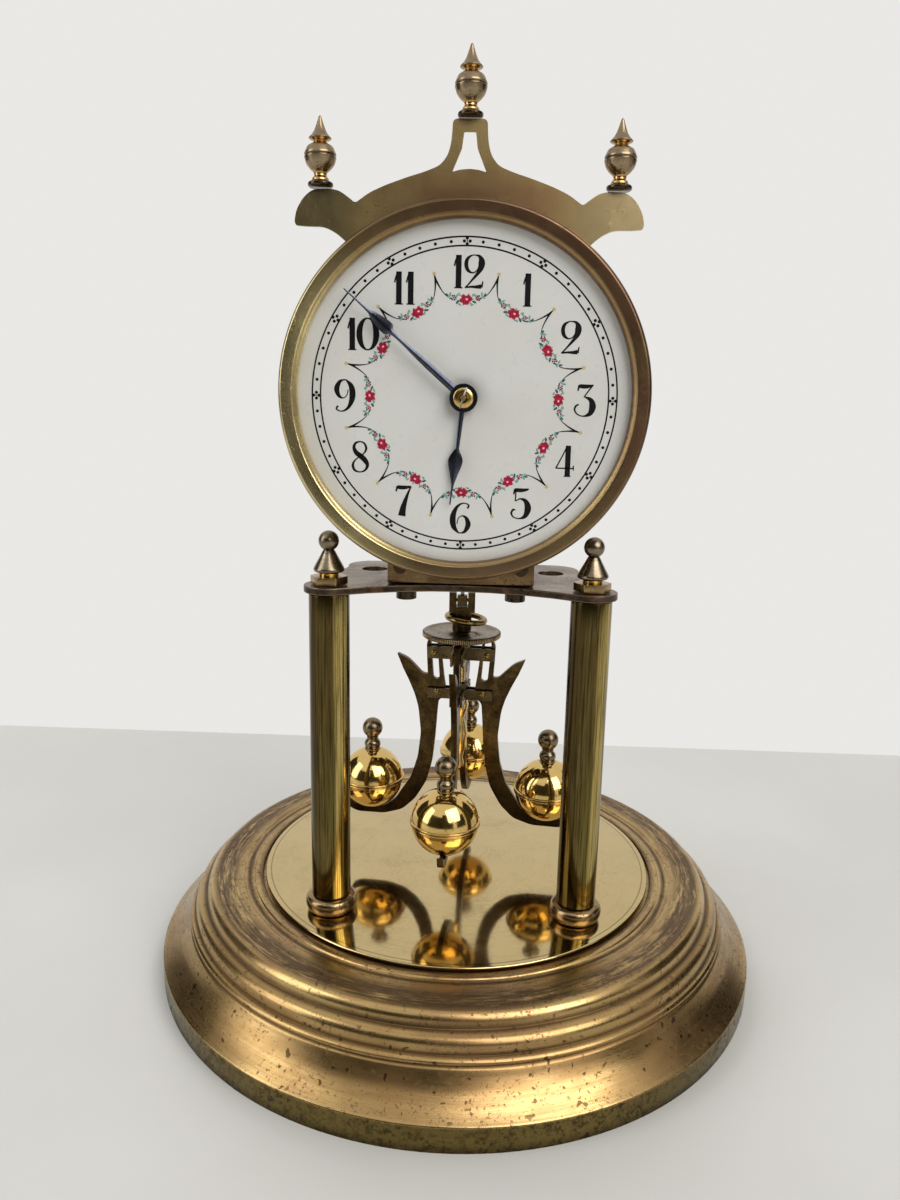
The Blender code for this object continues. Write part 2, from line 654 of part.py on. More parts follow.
def foot_places():
    """The dial's three feet, as (x, z)."""
    high = MOVE_Z + DIAL_FOOT_RISE
    return [(-DIAL_FOOT_X, high), (DIAL_FOOT_X, high), (0.0, MOVE_Z - DIAL_LOW_FOOT)]


def arbor_places():
    """Where each arbor of the train crosses the plates, as (x, z)."""
    centre = (0.0, MOVE_Z)
    barrel = (BARREL_X, MOVE_Z - BARREL_DROP)
    lean = bearing(FIRST_CENTRES, INTERMEDIATE_LEAN)
    intermediate = (barrel[0] + lean[0], barrel[1] + lean[1])
    return {
        "barrel": barrel,
        "intermediate": intermediate,
        "second": crossing(centre, THIRD_CENTRES, intermediate, SECOND_CENTRES),
        "centre": centre,
        "third": (THIRD_X, MOVE_Z + THIRD_RISE),
        "escape": (0.0, MOVE_Z + ESCAPE_RISE),
        "anchor": (0.0, MOVE_Z + ANCHOR_RISE),
        "minute": (0.0, MOVE_Z - MOTION_CENTRES),
    }


def base_shell():
    outer = scaled(BASE_OUTER_SHARES, BASE_RADIUS, BASE_HEIGHT)
    outer += [(RECESS_RADIUS + FIT_GAP, RECESS_Z), (0.0, RECESS_Z)]
    hollow = [(0.0, RECESS_Z - SHELL_WALL)] + scaled(BASE_HOLLOW_SHARES, BASE_RADIUS, BASE_HEIGHT)
    shell = turned(outer + hollow, FINE_SIDES)
    bores = [
        rod(TIE_RADIUS + FIT_GAP, RECESS_Z - SHELL_WALL - CUT_OVERRUN, RECESS_Z + CUT_OVERRUN, SMALL_SIDES,
            (side * PILLAR_X, -PILLAR_DEPTH))
        for side in (-1, 1)
    ]
    add("base_shell", cut(shell, *bores), aged_brass())


def base_disc():
    profile = [
        (0.0, DISC_Z), (DISC_RADIUS, DISC_Z), (DISC_RADIUS, DISC_TOP_Z - DISC_EDGE),
        (DISC_RADIUS - DISC_EDGE, DISC_TOP_Z), (0.0, DISC_TOP_Z),
    ]
    bores = [
        rod(TIE_RADIUS + FIT_GAP, DISC_Z - CUT_OVERRUN, DISC_TOP_Z + CUT_OVERRUN, SMALL_SIDES,
            (side * PILLAR_X, -PILLAR_DEPTH))
        for side in (-1, 1)
    ]
    add("base_disc", cut(turned(profile, FINE_SIDES), *bores), polished_brass())


def pillar_stack(side, label):
    """One pillar with its foot, bolt and finial."""
    place = (side * PILLAR_X, -PILLAR_DEPTH, 0.0)
    bore = TIE_RADIUS + FIT_GAP
    collar = [(bore, COLLAR_Z)] + scaled(COLLAR_SHARES, COLLAR_RADIUS, COLLAR_HEIGHT, COLLAR_Z)
    collar.append((bore, COLLAR_Z + COLLAR_HEIGHT))
    add("foot_collar_" + label, turned(collar, MIDDLE_SIDES), dull_nickel(), place)

    top = PILLAR_Z + PILLAR_LENGTH
    tube = [(PILLAR_BORE, PILLAR_Z), (PILLAR_RADIUS, PILLAR_Z), (PILLAR_RADIUS, top), (PILLAR_BORE, top)]
    add("pillar_" + label, turned(tube, MIDDLE_SIDES), polished_brass(), place)

    head_top = RECESS_Z - SHELL_WALL - FIT_GAP
    bolt = [
        (0.0, head_top - TIE_HEAD_HEIGHT), (TIE_HEAD_RADIUS, head_top - TIE_HEAD_HEIGHT),
        (TIE_HEAD_RADIUS, head_top),
        (TIE_RADIUS, head_top), (TIE_RADIUS, TIE_TOP_Z), (0.0, TIE_TOP_Z),
    ]
    add("tie_rod_" + label, turned(bolt, SMALL_SIDES), steel(), place)

    nut_top = NUT_Z + NUT_HEIGHT
    nut = rod(NUT_CORNER_RADIUS, NUT_Z, nut_top, 6)
    cone = [(0.0, nut_top - JOIN_DEPTH)]
    cone += scaled(FINIAL_CONE_SHARES, CONE_RADIUS, CONE_HEIGHT, nut_top + JOIN_DEPTH)
    ball_z = nut_top + CONE_HEIGHT + KNOB_BALL_RADIUS
    ball = arc((0.0, ball_z), KNOB_BALL_RADIUS, math.radians(-58), math.radians(65), BALL_STEPS)
    cone += ball + [(0.0, ball_z + KNOB_BALL_RADIUS)]
    blind = rod(bore, NUT_Z - CUT_OVERRUN, TIE_TOP_Z + FIT_GAP)
    add("pillar_finial_" + label, cut(joined(nut, turned(cone, MIDDLE_SIDES)), blind), dull_nickel(), place)


def platform_half():
    """The right half of the platform's outline, from the front's middle to the notch's middle."""
    lobe = (PILLAR_X, -PILLAR_DEPTH)
    rear = (REAR_LOBE_X, REAR_EDGE_Y - REAR_LOBE_RADIUS)
    front = [(0.0, -PLATFORM_FRONT_DEPTH)]
    corner = arc(lobe, FRONT_LOBE_RADIUS, math.radians(-112), math.radians(18), 8)
    for share in (0.25, 0.5, 0.75):
        x = corner[0][0] * share
        front.append((x, -PLATFORM_FRONT_DEPTH + (corner[0][1] + PLATFORM_FRONT_DEPTH) * share**2))
    back = arc(rear, REAR_LOBE_RADIUS, math.radians(-22), math.radians(90), 6)
    waist = ((corner[-1][0] + back[0][0]) / 2 - PLATFORM_WAIST, (corner[-1][1] + back[0][1]) / 2)
    floor = (0.0, -NOTCH_DEPTH + NOTCH_HALF_WIDTH)
    notch = [(NOTCH_HALF_WIDTH, REAR_EDGE_Y)] + arc(floor, NOTCH_HALF_WIDTH, 0.0, math.radians(-90), 6)
    return front + corner + [waist] + back + notch


def platform():
    half = platform_half()
    outline = half + [(-x, y) for x, y in reversed(half[1:-1])]
    right = (
        (TIE_RADIUS + FIT_GAP, SMALL_SIDES, PILLAR_X, PILLAR_DEPTH),
        (PLATFORM_HOLE_RADIUS, MIDDLE_SIDES, PLATFORM_HOLE_X, PLATFORM_HOLE_DEPTH),
        (SEAT_SCREW_RADIUS + FIT_GAP, SMALL_SIDES, SEAT_SCREW_X, SEAT_SCREW_DEPTH),
    )
    holes = [
        circle(radius, sides, (side * x, -depth))
        for side in (-1, 1) for radius, sides, x, depth in right
    ]
    add("platform", flat(outline, PLATFORM_Z, PLATFORM_TOP_Z, holes), aged_brass())


def seat_bracket():
    """A folded bracket whose two uprights hold the movement plates between them."""
    front = FRONT_PLATE_FRONT + FIT_GAP
    rear = BACK_PLATE_DEPTH - FIT_GAP
    top = SEAT_Z + SEAT_UPRIGHT
    floor = box(
        (-SEAT_HALF_WIDTH, -front - SEAT_SHEET, SEAT_Z), (SEAT_HALF_WIDTH, -rear + SEAT_SHEET, SEAT_TOP_Z)
    )
    near = box((-SEAT_HALF_WIDTH, -front - SEAT_SHEET, SEAT_Z), (SEAT_HALF_WIDTH, -front, top))
    far = box((-SEAT_HALF_WIDTH, -rear, SEAT_Z), (SEAT_HALF_WIDTH, -rear + SEAT_SHEET, top))
    studs = []
    for side in (-1, 1):
        place = (side * SEAT_STUD_X, 0.0, SEAT_Z + SEAT_STUD_RISE)
        head = rod(SEAT_STUD_RADIUS, front + SEAT_SHEET - JOIN_DEPTH, front + SEAT_SHEET + SEAT_STUD_HEAD)
        studs.append(placed(facing(head), None, place))
    bores = [
        rod(SEAT_SCREW_RADIUS + FIT_GAP, SEAT_Z - CUT_OVERRUN, SEAT_TOP_Z + CUT_OVERRUN, SMALL_SIDES,
            (side * SEAT_SCREW_X, -SEAT_SCREW_DEPTH))
        for side in (-1, 1)
    ]
    add("seat_bracket", cut(joined(floor, near, far, *studs), *bores), aged_brass())


def seat_screws():
    head_top = PLATFORM_Z - FIT_GAP
    top = SEAT_TOP_Z + SEAT_SCREW_REACH
    profile = [
        (0.0, head_top - SEAT_SCREW_HEAD), (SEAT_SCREW_HEAD_RADIUS, head_top - SEAT_SCREW_HEAD),
        (SEAT_SCREW_HEAD_RADIUS, head_top), (SEAT_SCREW_RADIUS, head_top), (SEAT_SCREW_RADIUS, top),
        (0.0, top),
    ]
    for side, label in ((-1, "left"), (1, "right")):
        place = (side * SEAT_SCREW_X, -SEAT_SCREW_DEPTH, 0.0)
        add("seat_screw_" + label, turned(profile, MIDDLE_SIDES), aged_brass(), place)


def plate_outline():
    """The outline shared by both movement plates, as (x, z)."""
    foot = PLATE_FOOT_Z + PLATE_FOOT_HEIGHT
    flare = foot + PLATE_FLARE_HEIGHT
    right = [(PLATE_FOOT_HALF_WIDTH, PLATE_FOOT_Z), (PLATE_FOOT_HALF_WIDTH, foot), (PLATE_HALF_WIDTH, flare)]
    corner = (PLATE_HALF_WIDTH - PLATE_CORNER, PLATE_TOP_Z - PLATE_CORNER)
    right += arc(corner, PLATE_CORNER, 0.0, math.radians(90), 5)
    return right + [(-x, z) for x, z in reversed(right)]


def pivot_holes(names):
    """Running holes for the named arbors."""
    places = arbor_places()
    return [circle(PIVOT_RADIUS + FIT_GAP, SMALL_SIDES, places[name]) for name in names]


TRAIN_PIVOTS = ("intermediate", "second", "third", "escape", "anchor")


def front_plate():
    """The front plate with the four pillars riveted to it, and the stud of the minute wheel."""
    places = arbor_places()
    holes = pivot_holes(TRAIN_PIVOTS)
    holes.append(circle(CENTRE_PIPE_RADIUS + FIT_GAP, SMALL_SIDES, places["centre"]))
    holes.append(circle(WINDING_PIVOT_RADIUS + FIT_GAP, SMALL_SIDES, places["barrel"]))
    holes += [circle(DIAL_FOOT_RADIUS + FIT_GAP, SMALL_SIDES, place) for place in foot_places()]
    plate = flat(plate_outline(), FRONT_PLATE_DEPTH, FRONT_PLATE_FRONT, holes)
    shoulder = BACK_PLATE_FRONT + FIT_GAP
    post = [
        (0.0, BACK_PLATE_DEPTH), (POST_STUD_RADIUS, BACK_PLATE_DEPTH), (POST_STUD_RADIUS, shoulder),
        (POST_RADIUS, shoulder), (POST_RADIUS, FRONT_PLATE_DEPTH + JOIN_DEPTH),
        (0.0, FRONT_PLATE_DEPTH + JOIN_DEPTH),
    ]
    posts = [placed(turned(post, SMALL_SIDES), None, (x, z, 0.0)) for x, z in post_places()]
    stud = rod(STUD_RADIUS, FRONT_PLATE_FRONT - JOIN_DEPTH, MINUTE_PINION_FRONT, TINY_SIDES, places["minute"])
    add("front_plate", facing(joined(plate, stud, *posts)), movement_brass())


def back_plate():
    places = arbor_places()
    holes = pivot_holes(TRAIN_PIVOTS[:-1] + ("centre",))
    holes.append(circle(ARBOR_RADIUS + FIT_GAP, SMALL_SIDES, places["anchor"]))
    holes.append(circle(WINDING_PIVOT_RADIUS + FIT_GAP, SMALL_SIDES, places["barrel"]))
    holes += [circle(POST_STUD_RADIUS + FIT_GAP, SMALL_SIDES, place) for place in post_places()]
    holes += [circle(BRACKET_RIVET_RADIUS + FIT_GAP, SMALL_SIDES, place) for place in rivet_places()]
    holes.append(circle(CLICK_STUD_RADIUS + FIT_GAP, SMALL_SIDES, click_place()))
    plate = flat(plate_outline(), BACK_PLATE_DEPTH, BACK_PLATE_FRONT, holes)
    add("back_plate", facing(plate), movement_brass())


def rivet_places():
    """The two rivets that hold the suspension bracket, as (x, z)."""
    x = BRACKET_HALF_WIDTH - BRACKET_LEG_WIDTH / 2
    return [(-x, BRACKET_RIVET_Z), (x, BRACKET_RIVET_Z)]


def click_place():
    """The click's pivot, as (x, z)."""
    centre = arbor_places()["barrel"]
    reach = polar(CLICK_REACH, CLICK_ANGLE)
    return (centre[0] + reach[0], centre[1] + reach[1])


def pitch_radii(centres, wheel_teeth, pinion_leaves):
    """The pitch radii of a meshing wheel and pinion, and their module."""
    share = centres / (wheel_teeth + pinion_leaves)
    return share * wheel_teeth, share * pinion_leaves, 2 * share


def toward(start, end):
    """The angle of the line from one place to another."""
    return math.atan2(end[1] - start[1], end[0] - start[0])


def wheel_outline(teeth, radius, module, phase):
    """Pointed teeth, one of them at the phase angle."""
    points = []
    for k in range(teeth):
        angle = phase + math.tau * k / teeth
        points.append(polar(radius + WHEEL_TIP_SHARE * module, angle))
        points.append(polar(radius - WHEEL_ROOT_SHARE * module, angle + math.pi / teeth))
    return points


def pinion_outline(leaves, radius, module, phase):
    """Narrow leaves, one of them at the phase angle."""
    points = []
    root = radius - PINION_ROOT_SHARE * module
    tip = radius + PINION_TIP_SHARE * module
    for k in range(leaves):
        angle = phase + math.tau * k / leaves
        step = math.tau / leaves
        points.append(polar(root, angle - LEAF_ROOT_SHARE * step))
        points.append(polar(tip, angle - LEAF_TIP_SHARE * step))
        points.append(polar(tip, angle + LEAF_TIP_SHARE * step))
        points.append(polar(root, angle + LEAF_ROOT_SHARE * step))
    return points


def windows(inner, outer, spokes):
    """The openings between a wheel's spokes."""
    loops = []
    for k in range(spokes):
        loop = []
        for radius, way in ((outer, 1), (inner, -1)):
            half = math.pi / spokes - SPOKE_WIDTH / 2 / radius
            middle = math.tau * k / spokes
            loop += [polar(radius, middle + way * half * turn) for turn in (-1, 1)]
        loops.append(loop)
    return loops


def spoked_wheel(teeth, radius, module, phase, depth, thickness):
    """A train wheel with four spokes."""
    rim = radius - WHEEL_ROOT_SHARE * module - WHEEL_RIM
    outline = wheel_outline(teeth, radius, module, phase)
    return flat(outline, depth, depth + thickness, windows(WHEEL_HUB, rim, SPOKES))


def arbor(low, high, radius=ARBOR_RADIUS):
    """A steel arbor between two depths with a pivot at each end."""
    back = BACK_PLATE_DEPTH + FIT_GAP
    front = FRONT_PLATE_FRONT - FIT_GAP
    profile = [
        (0.0, back), (PIVOT_RADIUS, back), (PIVOT_RADIUS, low), (radius, low),
        (radius, high), (PIVOT_RADIUS, high), (PIVOT_RADIUS, front), (0.0, front),
    ]
    return turned(profile, TINY_SIDES)


def train_wheel(name, wheel, pinion, where):
    """A wheel, its pinion and its arbor as one solid, standing on its own axis."""
    solid = joined(arbor(BACK_PLATE_FRONT + FIT_GAP, FRONT_PLATE_DEPTH - FIT_GAP), wheel, pinion)
    add(name, facing(solid), movement_brass(), (where[0], 0.0, where[1]))


def driving_wheel(start, end, wheel_teeth, leaves, wheel_depth):
    """The spoked wheel on the arbor at the start, with a tooth on the line to the arbor that it turns."""
    wheel_radius, _, module = pitch_radii(distance(start, end), wheel_teeth, leaves)
    return spoked_wheel(wheel_teeth, wheel_radius, module, toward(start, end), wheel_depth, WHEEL_THICKNESS)


def driven_pinion(start, end, wheel_teeth, leaves, wheel_depth, thickness=WHEEL_THICKNESS):
    """The pinion on the arbor at the end, with two leaves on both sides of the wheel's tooth."""
    _, pinion_radius, module = pitch_radii(distance(start, end), wheel_teeth, leaves)
    phase = toward(end, start) + math.pi / leaves
    outline = pinion_outline(leaves, pinion_radius, module, phase)
    return flat(outline, wheel_depth - PINION_OVERLAP, wheel_depth + thickness + PINION_OVERLAP)


def meshing(start, end, wheel_teeth, leaves, wheel_depth):
    """A wheel on one arbor and the pinion that it turns on the next arbor."""
    wheel = driving_wheel(start, end, wheel_teeth, leaves, wheel_depth)
    return wheel, driven_pinion(start, end, wheel_teeth, leaves, wheel_depth)


def distance(start, end):
    """How far two places lie apart."""
    return math.hypot(end[0] - start[0], end[1] - start[1])


def going_train():
    """Barrel, intermediate, second, centre, third and escape wheels, each in mesh with the next."""
    places = arbor_places()
    drum, intermediate, second = places["barrel"], places["intermediate"], places["second"]
    centre, third, escape = places["centre"], places["third"], places["escape"]
    first_pinion = driven_pinion(
        drum, intermediate, GREAT_TEETH, INTERMEDIATE_LEAVES, GREAT_WHEEL_DEPTH, GREAT_WHEEL_THICKNESS
    )
    second_wheel, second_pinion = meshing(
        intermediate, second, INTERMEDIATE_TEETH, SECOND_LEAVES, INTERMEDIATE_WHEEL_DEPTH
    )
    third_wheel, third_pinion = meshing(second, centre, SECOND_TEETH, CENTRE_LEAVES, SECOND_WHEEL_DEPTH)
    fourth_wheel, fourth_pinion = meshing(centre, third, CENTRE_TEETH, THIRD_LEAVES, CENTRE_WHEEL_DEPTH)
    fifth_wheel, fifth_pinion = meshing(third, escape, THIRD_TEETH, ESCAPE_LEAVES, THIRD_WHEEL_DEPTH)
    barrel(drum, toward(drum, intermediate))
    train_wheel("intermediate_wheel", second_wheel, first_pinion, intermediate)
    train_wheel("second_wheel", third_wheel, second_pinion, second)
    centre_wheel(fourth_wheel, third_pinion, centre)
    train_wheel("third_wheel", fifth_wheel, fourth_pinion, third)
    train_wheel("escape_wheel", escape_disc(), fifth_pinion, escape)


def centre_wheel(wheel, pinion, where):
    """The centre wheel, whose arbor reaches through the dial to the hands."""
    back = BACK_PLATE_DEPTH + FIT_GAP
    shoulder = BACK_PLATE_FRONT + FIT_GAP
    front = FRONT_PLATE_DEPTH - FIT_GAP
    profile = [
        (0.0, back), (PIVOT_RADIUS, back), (PIVOT_RADIUS, shoulder), (ARBOR_RADIUS, shoulder),
        (ARBOR_RADIUS, front), (CENTRE_PIPE_RADIUS, front), (CENTRE_PIPE_RADIUS, CENTRE_TIP_DEPTH),
        (0.0, CENTRE_TIP_DEPTH),
    ]
    solid = joined(turned(profile, TINY_SIDES), wheel, pinion)
    pin_hole = rod(HAND_PIN_RADIUS + FIT_GAP / 2, -WASHER_RADIUS, WASHER_RADIUS, 6)
    placed(pin_hole, turn_about("X", math.pi / 2), (0.0, 0.0, hand_pin_depth()))
    add("centre_wheel", facing(cut(solid, pin_hole)), movement_brass(), (where[0], 0.0, where[1]))


def escape_disc():
    """The escape wheel's raked teeth."""
    points = []
    step = math.tau / ESCAPE_TEETH
    root = ESCAPE_RADIUS - ESCAPE_TOOTH
    for k in range(ESCAPE_TEETH):
        angle = step * k
        points.append(polar(ESCAPE_RADIUS, angle))
        points.append(polar(root, angle + step / 4))
        points.append(polar(root, angle + step * 3 / 4))
    holes = windows(WHEEL_HUB, root - WHEEL_RIM / 2, SPOKES)
    return flat(points, ESCAPE_WHEEL_DEPTH, ESCAPE_WHEEL_DEPTH + WHEEL_THICKNESS, holes)


def barrel(where, way):
    """The drum with its great wheel, its cover, its mainspring and the winding arbor through them."""
    wheel_radius, _, module = pitch_radii(FIRST_CENTRES, GREAT_TEETH, INTERMEDIATE_LEAVES)
    bore = circle(WINDING_RADIUS + FIT_GAP, SMALL_SIDES)
    floor_top = GREAT_WHEEL_DEPTH + GREAT_WHEEL_THICKNESS
    teeth = flat(wheel_outline(GREAT_TEETH, wheel_radius, module, way), GREAT_WHEEL_DEPTH, floor_top, [bore])
    wall = flat(
        circle(DRUM_RADIUS, FINE_SIDES), floor_top - JOIN_DEPTH, DRUM_FRONT_DEPTH,
        [circle(DRUM_RADIUS - DRUM_WALL, FINE_SIDES)],
    )
    place = (where[0], 0.0, where[1])
    add("barrel", facing(joined(teeth, wall)), movement_brass(), place)

    room = DRUM_RADIUS - DRUM_WALL
    cover_front = DRUM_FRONT_DEPTH - FIT_GAP
    cover = flat(circle(room - FIT_GAP, FINE_SIDES), cover_front - COVER_THICKNESS, cover_front, [bore])
    add("barrel_cover", facing(cover), movement_brass(), place)

    start = WINDING_RADIUS + FIT_GAP + SPRING_STRIP / 2
    stop = room - FIT_GAP - SPRING_STRIP / 2
    strip = spiral(start, stop, SPRING_TURNS, SPRING_STRIP)
    spring = flat(strip, floor_top + FIT_GAP, cover_front - COVER_THICKNESS - FIT_GAP)
    add("mainspring", facing(spring), steel(), place)

    rear = BACK_PLATE_DEPTH - FIT_GAP
    ratchet_rear = rear - RATCHET_THICKNESS - FIT_GAP
    pivot_front = FRONT_PLATE_FRONT - FIT_GAP
    profile = [
        (0.0, ratchet_rear), (WINDING_PIVOT_RADIUS, ratchet_rear),
        (WINDING_PIVOT_RADIUS, BACK_PLATE_FRONT + FIT_GAP), (WINDING_RADIUS, BACK_PLATE_FRONT + FIT_GAP),
        (WINDING_RADIUS, FRONT_PLATE_DEPTH - FIT_GAP), (WINDING_PIVOT_RADIUS, FRONT_PLATE_DEPTH - FIT_GAP),
        (WINDING_PIVOT_RADIUS, pivot_front), (0.0, pivot_front),
    ]
    square = rod(WINDING_SQUARE_RADIUS, -WINDING_END_Y, ratchet_rear + JOIN_DEPTH, 4, start=math.pi / 4)
    add("winding_arbor", facing(joined(turned(profile, SMALL_SIDES), square)), steel(), place)

    hole = circle(WINDING_PIVOT_RADIUS + FIT_GAP, SMALL_SIDES)
    ratchet = flat(ratchet_outline(), rear - RATCHET_THICKNESS, rear, [hole])
    add("ratchet_wheel", facing(ratchet), steel(), place)


def spiral(start, stop, turns, width):
    """The outline of a flat spiral strip."""
    steps = turns * SPIRAL_STEPS
    inner, outer = [], []
    for k in range(steps + 1):
        angle = math.tau * turns * k / steps
        radius = start + (stop - start) * k / steps
        inner.append(polar(radius - width / 2, angle))
        outer.append(polar(radius + width / 2, angle))
    return outer + inner[::-1]


def ratchet_outline():
    """Saw teeth that let the arbor turn one way past the click."""
    points = []
    for k in range(RATCHET_TEETH):
        angle = math.tau * k / RATCHET_TEETH
        points.append(polar(RATCHET_RADIUS - RATCHET_TOOTH, angle - RATCHET_RAKE))
        points.append(polar(RATCHET_RADIUS, angle))
    return points


def click():
    """The pawl on its stud, with the tail that presses it; its tip rests just clear of the teeth."""
    centre = arbor_places()["barrel"]
    pivot = click_place()
    rear = BACK_PLATE_DEPTH - FIT_GAP
    local = (centre[0] - pivot[0], centre[1] - pivot[1])
    clear = RATCHET_RADIUS + FIT_GAP
    tip = polar(clear, CLICK_TIP_ANGLE)
    tip = (tip[0] + local[0], tip[1] + local[1])
    beak = polar(clear + CLICK_EYE_RADIUS, CLICK_TIP_ANGLE)
    beak = (beak[0] + local[0], beak[1] + local[1])
    eye = rod(CLICK_EYE_RADIUS, rear - RATCHET_THICKNESS, rear)
    lever = flat(
        [tip, beak, (0.0, CLICK_EYE_RADIUS - FIT_GAP), (0.0, -CLICK_EYE_RADIUS / 2)],
        rear - RATCHET_THICKNESS, rear,
    )
    tail_end = CLICK_EYE_RADIUS + CLICK_LENGTH
    tail = flat(
        [(0.0, -CLICK_TAIL), (tail_end, -CLICK_TAIL / 2), (tail_end, CLICK_TAIL / 2), (0.0, CLICK_TAIL)],
        rear - RATCHET_THICKNESS / 2, rear,
    )
    stud = rod(CLICK_STUD_RADIUS, rear - JOIN_DEPTH, BACK_PLATE_FRONT - FIT_GAP, TINY_SIDES)
    add("click", facing(joined(eye, lever, tail, stud)), steel(), (pivot[0], 0.0, pivot[1]))


def anchor():
    """The pallets on their arbor, and the upright pin behind the back plate that the fork holds."""
    places = arbor_places()
    right = scaled(ANCHOR_SHARES, ANCHOR_SPAN, PALLET_DROP)
    outline = [(0.0, ANCHOR_HUB_RADIUS)] + right
    outline += [(0.0, -ANCHOR_HUB_RADIUS)] + [(-x, y) for x, y in reversed(right)]
    low = ESCAPE_WHEEL_DEPTH + WHEEL_THICKNESS / 2 - PALLET_THICKNESS / 2
    pallets = flat(outline, low, low + PALLET_THICKNESS)
    front = FRONT_PLATE_FRONT - FIT_GAP
    shoulder = FRONT_PLATE_DEPTH - FIT_GAP
    tail_end = ANCHOR_TAIL_DEPTH + ANCHOR_TAIL_LENGTH
    profile = [
        (0.0, ANCHOR_TAIL_DEPTH), (ANCHOR_TAIL_RADIUS, ANCHOR_TAIL_DEPTH), (ANCHOR_TAIL_RADIUS, tail_end),
        (ARBOR_RADIUS, tail_end), (ARBOR_RADIUS, shoulder), (PIVOT_RADIUS, shoulder), (PIVOT_RADIUS, front),
        (0.0, front),
    ]
    solid = facing(joined(turned(profile, SMALL_SIDES), pallets))
    depth = ANCHOR_TAIL_DEPTH + ANCHOR_TAIL_LENGTH / 2
    pin = rod(ANCHOR_PIN_RADIUS, ANCHOR_TAIL_RADIUS / 2, ANCHOR_PIN_TOP, TINY_SIDES, (0.0, -depth))
    place = (places["anchor"][0], 0.0, places["anchor"][1])
    add("anchor", joined(solid, pin), steel(), place)


def fork():
    """The fork clamped on the suspension spring, with its slot round the anchor's pin."""
    low = FORK_Z - FORK_HEIGHT / 2
    clamp = box(
        (-FORK_HALF_WIDTH, -FORK_HALF_DEPTH, low), (FORK_HALF_WIDTH, FORK_HALF_DEPTH, low + FORK_HEIGHT)
    )
    slot_half = ANCHOR_PIN_RADIUS + FIT_GAP
    tines = []
    for side in (-1, 1):
        near, far = sorted((side * slot_half, side * (slot_half + FORK_TINE)))
        tines.append(box(
            (near, -FORK_REACH, FORK_Z - FORK_TINE_HEIGHT / 2),
            (far, -FORK_HALF_DEPTH + JOIN_DEPTH, FORK_Z + FORK_TINE_HEIGHT / 2),
        ))
    slot = strip_room(low - CUT_OVERRUN, low + FORK_HEIGHT + CUT_OVERRUN)
    add("fork", cut(joined(clamp, *tines), slot), movement_brass())


def strip_room(low, high):
    """The room that the suspension spring's strip needs between two heights."""
    half = (STRIP_HALF_WIDTH + FIT_GAP, STRIP_HALF_THICKNESS + FIT_GAP)
    return box((-half[0], -half[1], low), (half[0], half[1], high))


def motion_work():
    """The cannon pinion, minute wheel and hour wheel that drive the hour hand at a twelfth of the speed."""
    places = arbor_places()
    minute_radius, cannon_radius, module = pitch_radii(MOTION_CENTRES, MINUTE_TEETH, CANNON_LEAVES)
    way = toward(places["centre"], places["minute"])
    pipe_bore = CENTRE_PIPE_RADIUS + FIT_GAP
    pipe = pipe_bore + CANNON_PIPE_WALL
    start = FRONT_PLATE_FRONT + FIT_GAP
    bore = circle(pipe_bore, SMALL_SIDES)
    leaves = flat(
        pinion_outline(CANNON_LEAVES, cannon_radius, module, way),
        CANNON_DEPTH, CANNON_DEPTH + CANNON_LENGTH, [bore],
    )
    tube = flat(circle(pipe, SMALL_SIDES), start, MINUTE_HAND_DEPTH - FIT_GAP, [bore])
    place = (places["centre"][0], 0.0, places["centre"][1])
    add("cannon_pinion", facing(joined(leaves, tube)), movement_brass(), place)

    hour_radius, small_radius, fine = pitch_radii(MOTION_CENTRES, HOUR_TEETH, MINUTE_LEAVES)
    stud_bore = circle(STUD_RADIUS + FIT_GAP, TINY_SIDES)
    back = way + math.pi
    wheel = flat(
        wheel_outline(MINUTE_TEETH, minute_radius, module, back + math.pi / MINUTE_TEETH),
        MINUTE_WHEEL_DEPTH, MINUTE_WHEEL_DEPTH + WHEEL_THICKNESS, [stud_bore],
    )
    small = flat(
        pinion_outline(MINUTE_LEAVES, small_radius, fine, back),
        MINUTE_WHEEL_DEPTH + WHEEL_THICKNESS / 2, MINUTE_PINION_FRONT, [stud_bore],
    )
    beside = (places["minute"][0], 0.0, places["minute"][1])
    add("minute_wheel", facing(joined(wheel, small)), movement_brass(), beside)

    hour_bore = circle(pipe + FIT_GAP, SMALL_SIDES)
    disc = flat(
        wheel_outline(HOUR_TEETH, hour_radius, fine, way + math.pi / HOUR_TEETH),
        HOUR_WHEEL_DEPTH, HOUR_WHEEL_DEPTH + WHEEL_THICKNESS, [hour_bore],
    )
    sleeve = flat(
        circle(pipe + FIT_GAP + HOUR_PIPE_WALL, SMALL_SIDES), HOUR_WHEEL_DEPTH + WHEEL_THICKNESS / 2,
        HOUR_HAND_DEPTH - FIT_GAP, [hour_bore],
    )
    add("hour_wheel", facing(joined(disc, sleeve)), movement_brass(), place)


def dial():
    """The enamelled disc on its three feet."""
    centre_hole = CENTRE_PIPE_RADIUS + CANNON_PIPE_WALL + HOUR_PIPE_WALL + 3 * FIT_GAP
    disc = flat(
        circle(DIAL_RADIUS, FINE_SIDES, (0.0, BEZEL_Z)), DIAL_DEPTH, DIAL_FRONT,
        [circle(centre_hole, SMALL_SIDES, (0.0, MOVE_Z))],
    )
    feet = [
        rod(DIAL_FOOT_RADIUS, FRONT_PLATE_DEPTH, DIAL_DEPTH + JOIN_DEPTH, TINY_SIDES, place)
        for place in foot_places()
    ]
    add("dial", facing(joined(disc, *feet)), enamel())


